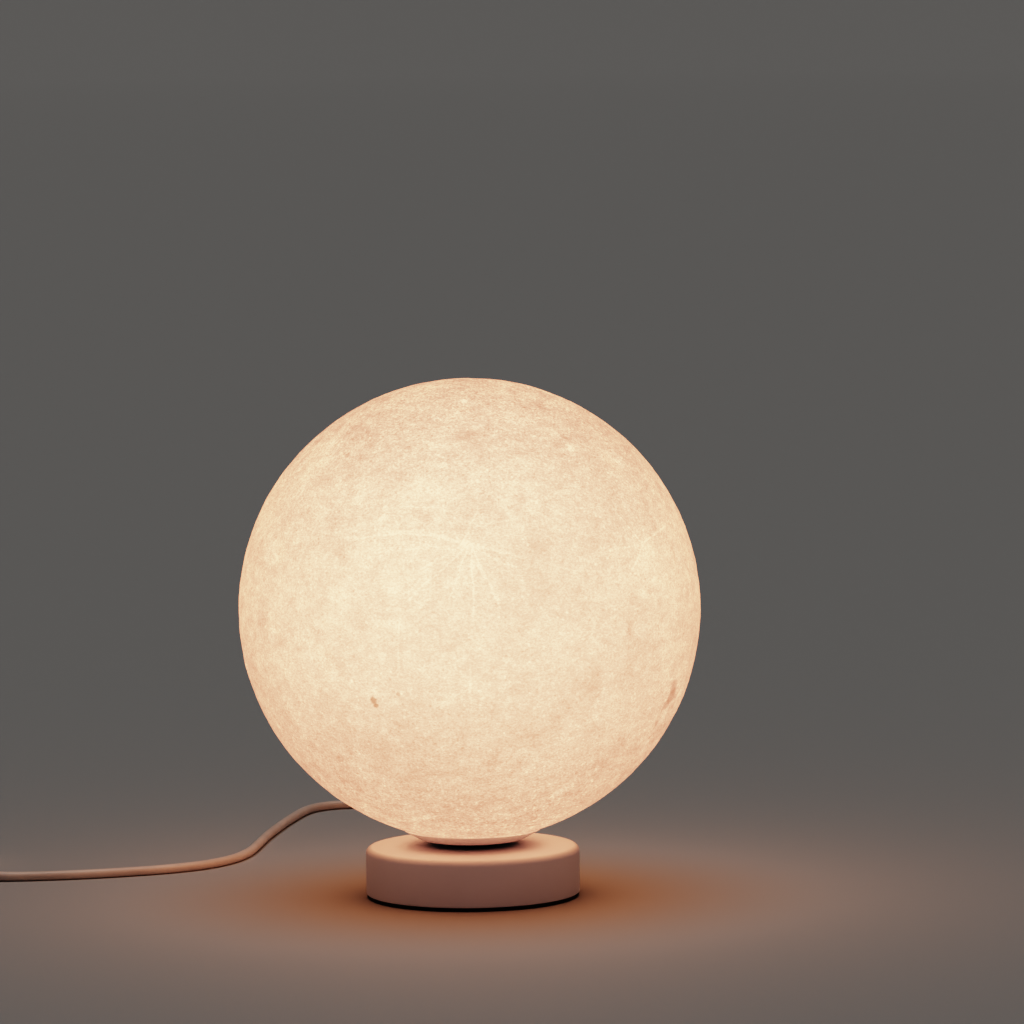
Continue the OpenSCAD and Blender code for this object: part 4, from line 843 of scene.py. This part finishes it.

# %% [markdown]
# ## The dish and its neck
#
# Both are round parts of a lathe or a mould, so a circle is extruded and widened along their
# profile. The dish gets a soft curve between its flat middle and its slanting side, and the black
# seat under it stands back on a narrow neck: in the picture only a thin dark line is left of it.
# The seat's black is partly its own colour and partly painted shade for the gap under the dish.


# %% Turned pieces
def turned(name, profile, sides=128):
    """A closed ring: a circle that is extruded and widened along a profile of (radius, height)."""
    radius, height = profile[0]
    bpy.ops.mesh.primitive_circle_add(vertices=sides, radius=radius * MM)
    piece = select_only(bpy.context.object)
    piece.name = name
    bpy.ops.object.mode_set(mode="EDIT")
    bpy.ops.mesh.select_all(action="SELECT")
    bpy.ops.transform.translate(value=(0, 0, height * MM))
    for new_radius, new_height in profile[1:] + profile[:1]:
        bpy.ops.mesh.extrude_region_move(
            TRANSFORM_OT_translate={"value": (0, 0, (new_height - height) * MM)})
        bpy.ops.transform.resize(value=(new_radius / radius, new_radius / radius, 1),
                                 center_override=(0, 0, 0))
        radius, height = new_radius, new_height
    bpy.ops.mesh.select_all(action="SELECT")
    bpy.ops.mesh.remove_doubles(threshold=2e-6)
    bpy.ops.mesh.normals_make_consistent(inside=False)
    bpy.ops.object.mode_set(mode="OBJECT")
    bpy.ops.object.shade_smooth_by_angle(angle=math.radians(28))
    return piece


def arc(centre, radius, start_deg, end_deg, steps):
    turns = [math.radians(start_deg + (end_deg - start_deg) * k / steps) for k in range(steps + 1)]
    return [(centre[0] + radius * math.cos(a), centre[1] + radius * math.sin(a)) for a in turns]


# %% Dish
DISH_Z, DISH_EDGE, DISH_SLOPE = 31.1, 12.0, 29.5
under_globe = [(r, GLOBE_AT.z - math.sqrt(GLOBE_R ** 2 - r * r) - 0.1)
               for r in (35.2, 34.1, 33.0, 31.9, 30.9)]
dish = turned("dish", [(23.8, DISH_Z + 0.3), (24.1, DISH_Z)]
              + arc((24.3, DISH_Z + DISH_EDGE), DISH_EDGE, -90, DISH_SLOPE - 90, 10)
              + [(36.6, 36.15), (36.95, 36.4), (36.8, 36.65), (36.3, 36.75)]
              + under_globe + [(30.9, 38.03), (23.8, 38.03)])
finish_piece(dish, "globe", ["globe_cup"])

# %% Low boss on the housing, neck, seat and spigot
boss = turned("housing_boss", [(5.2, 27.4), (36, 27.4), (36, 27.51), (34, 27.56), (31, 27.72),
                               (27, 28.02), (24, 28.22), (22, 28.30), (5.2, 28.30)])
finish_piece(boss, "base")
# The seat is black partly as a moulded part and partly as painted shade in the gap under the dish
seat = turned("seat_neck", [
    (5.1, 28.3), (15.0, 28.3), (15.4, 29.0), (17.0, 29.7), (20.5, 30.3), (24.3, 30.75),
    (24.6, 30.86), (24.6, 31.0), (24.5, 31.05), (23.6, 31.05), (23.6, 37.5), (22.6, 38.5),
    (21.9, 38.5), (21.6, 38.2), (21.6, 30.95), (5.1, 30.95)], 96)
RIBS, RIB_AT_R, RIB_R, RIB_H, RIB_MID_Z = 6, 22.8, 1.0, 6.2, 33.9
for k in range(RIBS):
    angle = math.radians(30 + 360 / RIBS * k)
    bpy.ops.mesh.primitive_cylinder_add(
        vertices=20, radius=RIB_R * MM, depth=RIB_H * MM,
        location=(RIB_AT_R * MM * math.cos(angle), RIB_AT_R * MM * math.sin(angle),
                  RIB_MID_Z * MM))
    select_only(bpy.context.object)
    bpy.ops.object.transform_apply(location=True)
    bpy.ops.object.mode_set(mode="EDIT")
    bpy.ops.mesh.select_all(action="SELECT")
    bpy.ops.mesh.bevel(offset=0.25 * MM, segments=2)
    bpy.ops.object.mode_set(mode="OBJECT")
    bpy.ops.object.shade_smooth_by_angle(angle=math.radians(35))
    seat.select_set(True)
    bpy.context.view_layer.objects.active = seat
    bpy.ops.object.join()
finish_piece(seat, "base", ["seat_collar"])
print("dish", len(dish.data.polygons), "faces, seat", len(seat.data.polygons), "faces")

# %% [markdown]
# ## Rounded edges on the switch and the plug
#
# A moulded case has no sharp edge. Each of these solids is copied, its loose triangles are
# merged, flat faces become one face each, and the edges are rounded.


# %% Rounded copies
def rounded_copy(node_name, name, body, slot, width_mm, angle_deg=28):
    piece = bpy.data.objects.new(name, nodes[node_name].data.copy())
    bpy.context.scene.collection.objects.link(piece)
    select_only(piece)
    bpy.ops.object.mode_set(mode="EDIT")
    bpy.ops.mesh.select_all(action="SELECT")
    bpy.ops.mesh.remove_doubles(threshold=0.01 * MM)
    bpy.ops.mesh.dissolve_limited(angle_limit=math.radians(1))
    bpy.ops.object.mode_set(mode="OBJECT")
    bevel = piece.modifiers.new("rounding", "BEVEL")
    bevel.width = width_mm * MM
    bevel.segments = 3
    bevel.limit_method = "ANGLE"
    bevel.angle_limit = math.radians(angle_deg)
    bpy.ops.object.modifier_apply(modifier="rounding")
    bpy.ops.object.shade_smooth_by_angle(angle=math.radians(32))
    return finish_piece(piece, body, [node_name])


rounded = [(rounded_copy(*row), row[3]) for row in (
    ("switch_lower_case", "switch_lower_shell", "base", "white_nylon", 0.7),
    ("switch_upper_case", "switch_upper_shell", "base", "white_nylon", 0.7),
    ("switch_rocker", "rocker_key", "rocker_body", "white_nylon", 0.35),
    ("plug_body", "plug_shell", "base", "white_cord", 1.0),
    ("coil_tie", "tie_strap", "base", "black_plastic", 0.2))]
print("rounded copies:", [(piece.name, len(piece.data.polygons)) for piece, slot in rounded])

# %% [markdown]
# ## Dress the solids
#
# Every solid of the model has a material slot with a name. The finish of that name takes the
# slot, and the solid itself stays as it is.

# %% Dress
for obj in nodes.values():
    for place in obj.material_slots:
        key = place.material.name.split(".")[0] if place.material else ""
        place.material = FINISHES.get(key, place.material)
# The seat's black here is partly painted shade for the gap under the dish
for piece, slot in rounded + [(dish, "white_paint"), (boss, "white_paint"),
                              (seat, "black_plastic"), (lead_to_switch, "white_cord"),
                              (lead_to_plug, "white_cord")]:
    piece.data.materials.clear()
    piece.data.materials.append(FINISHES[slot])
print("slots:", sorted({place.material.name for obj in nodes.values()
                        for place in obj.material_slots if place.material}))
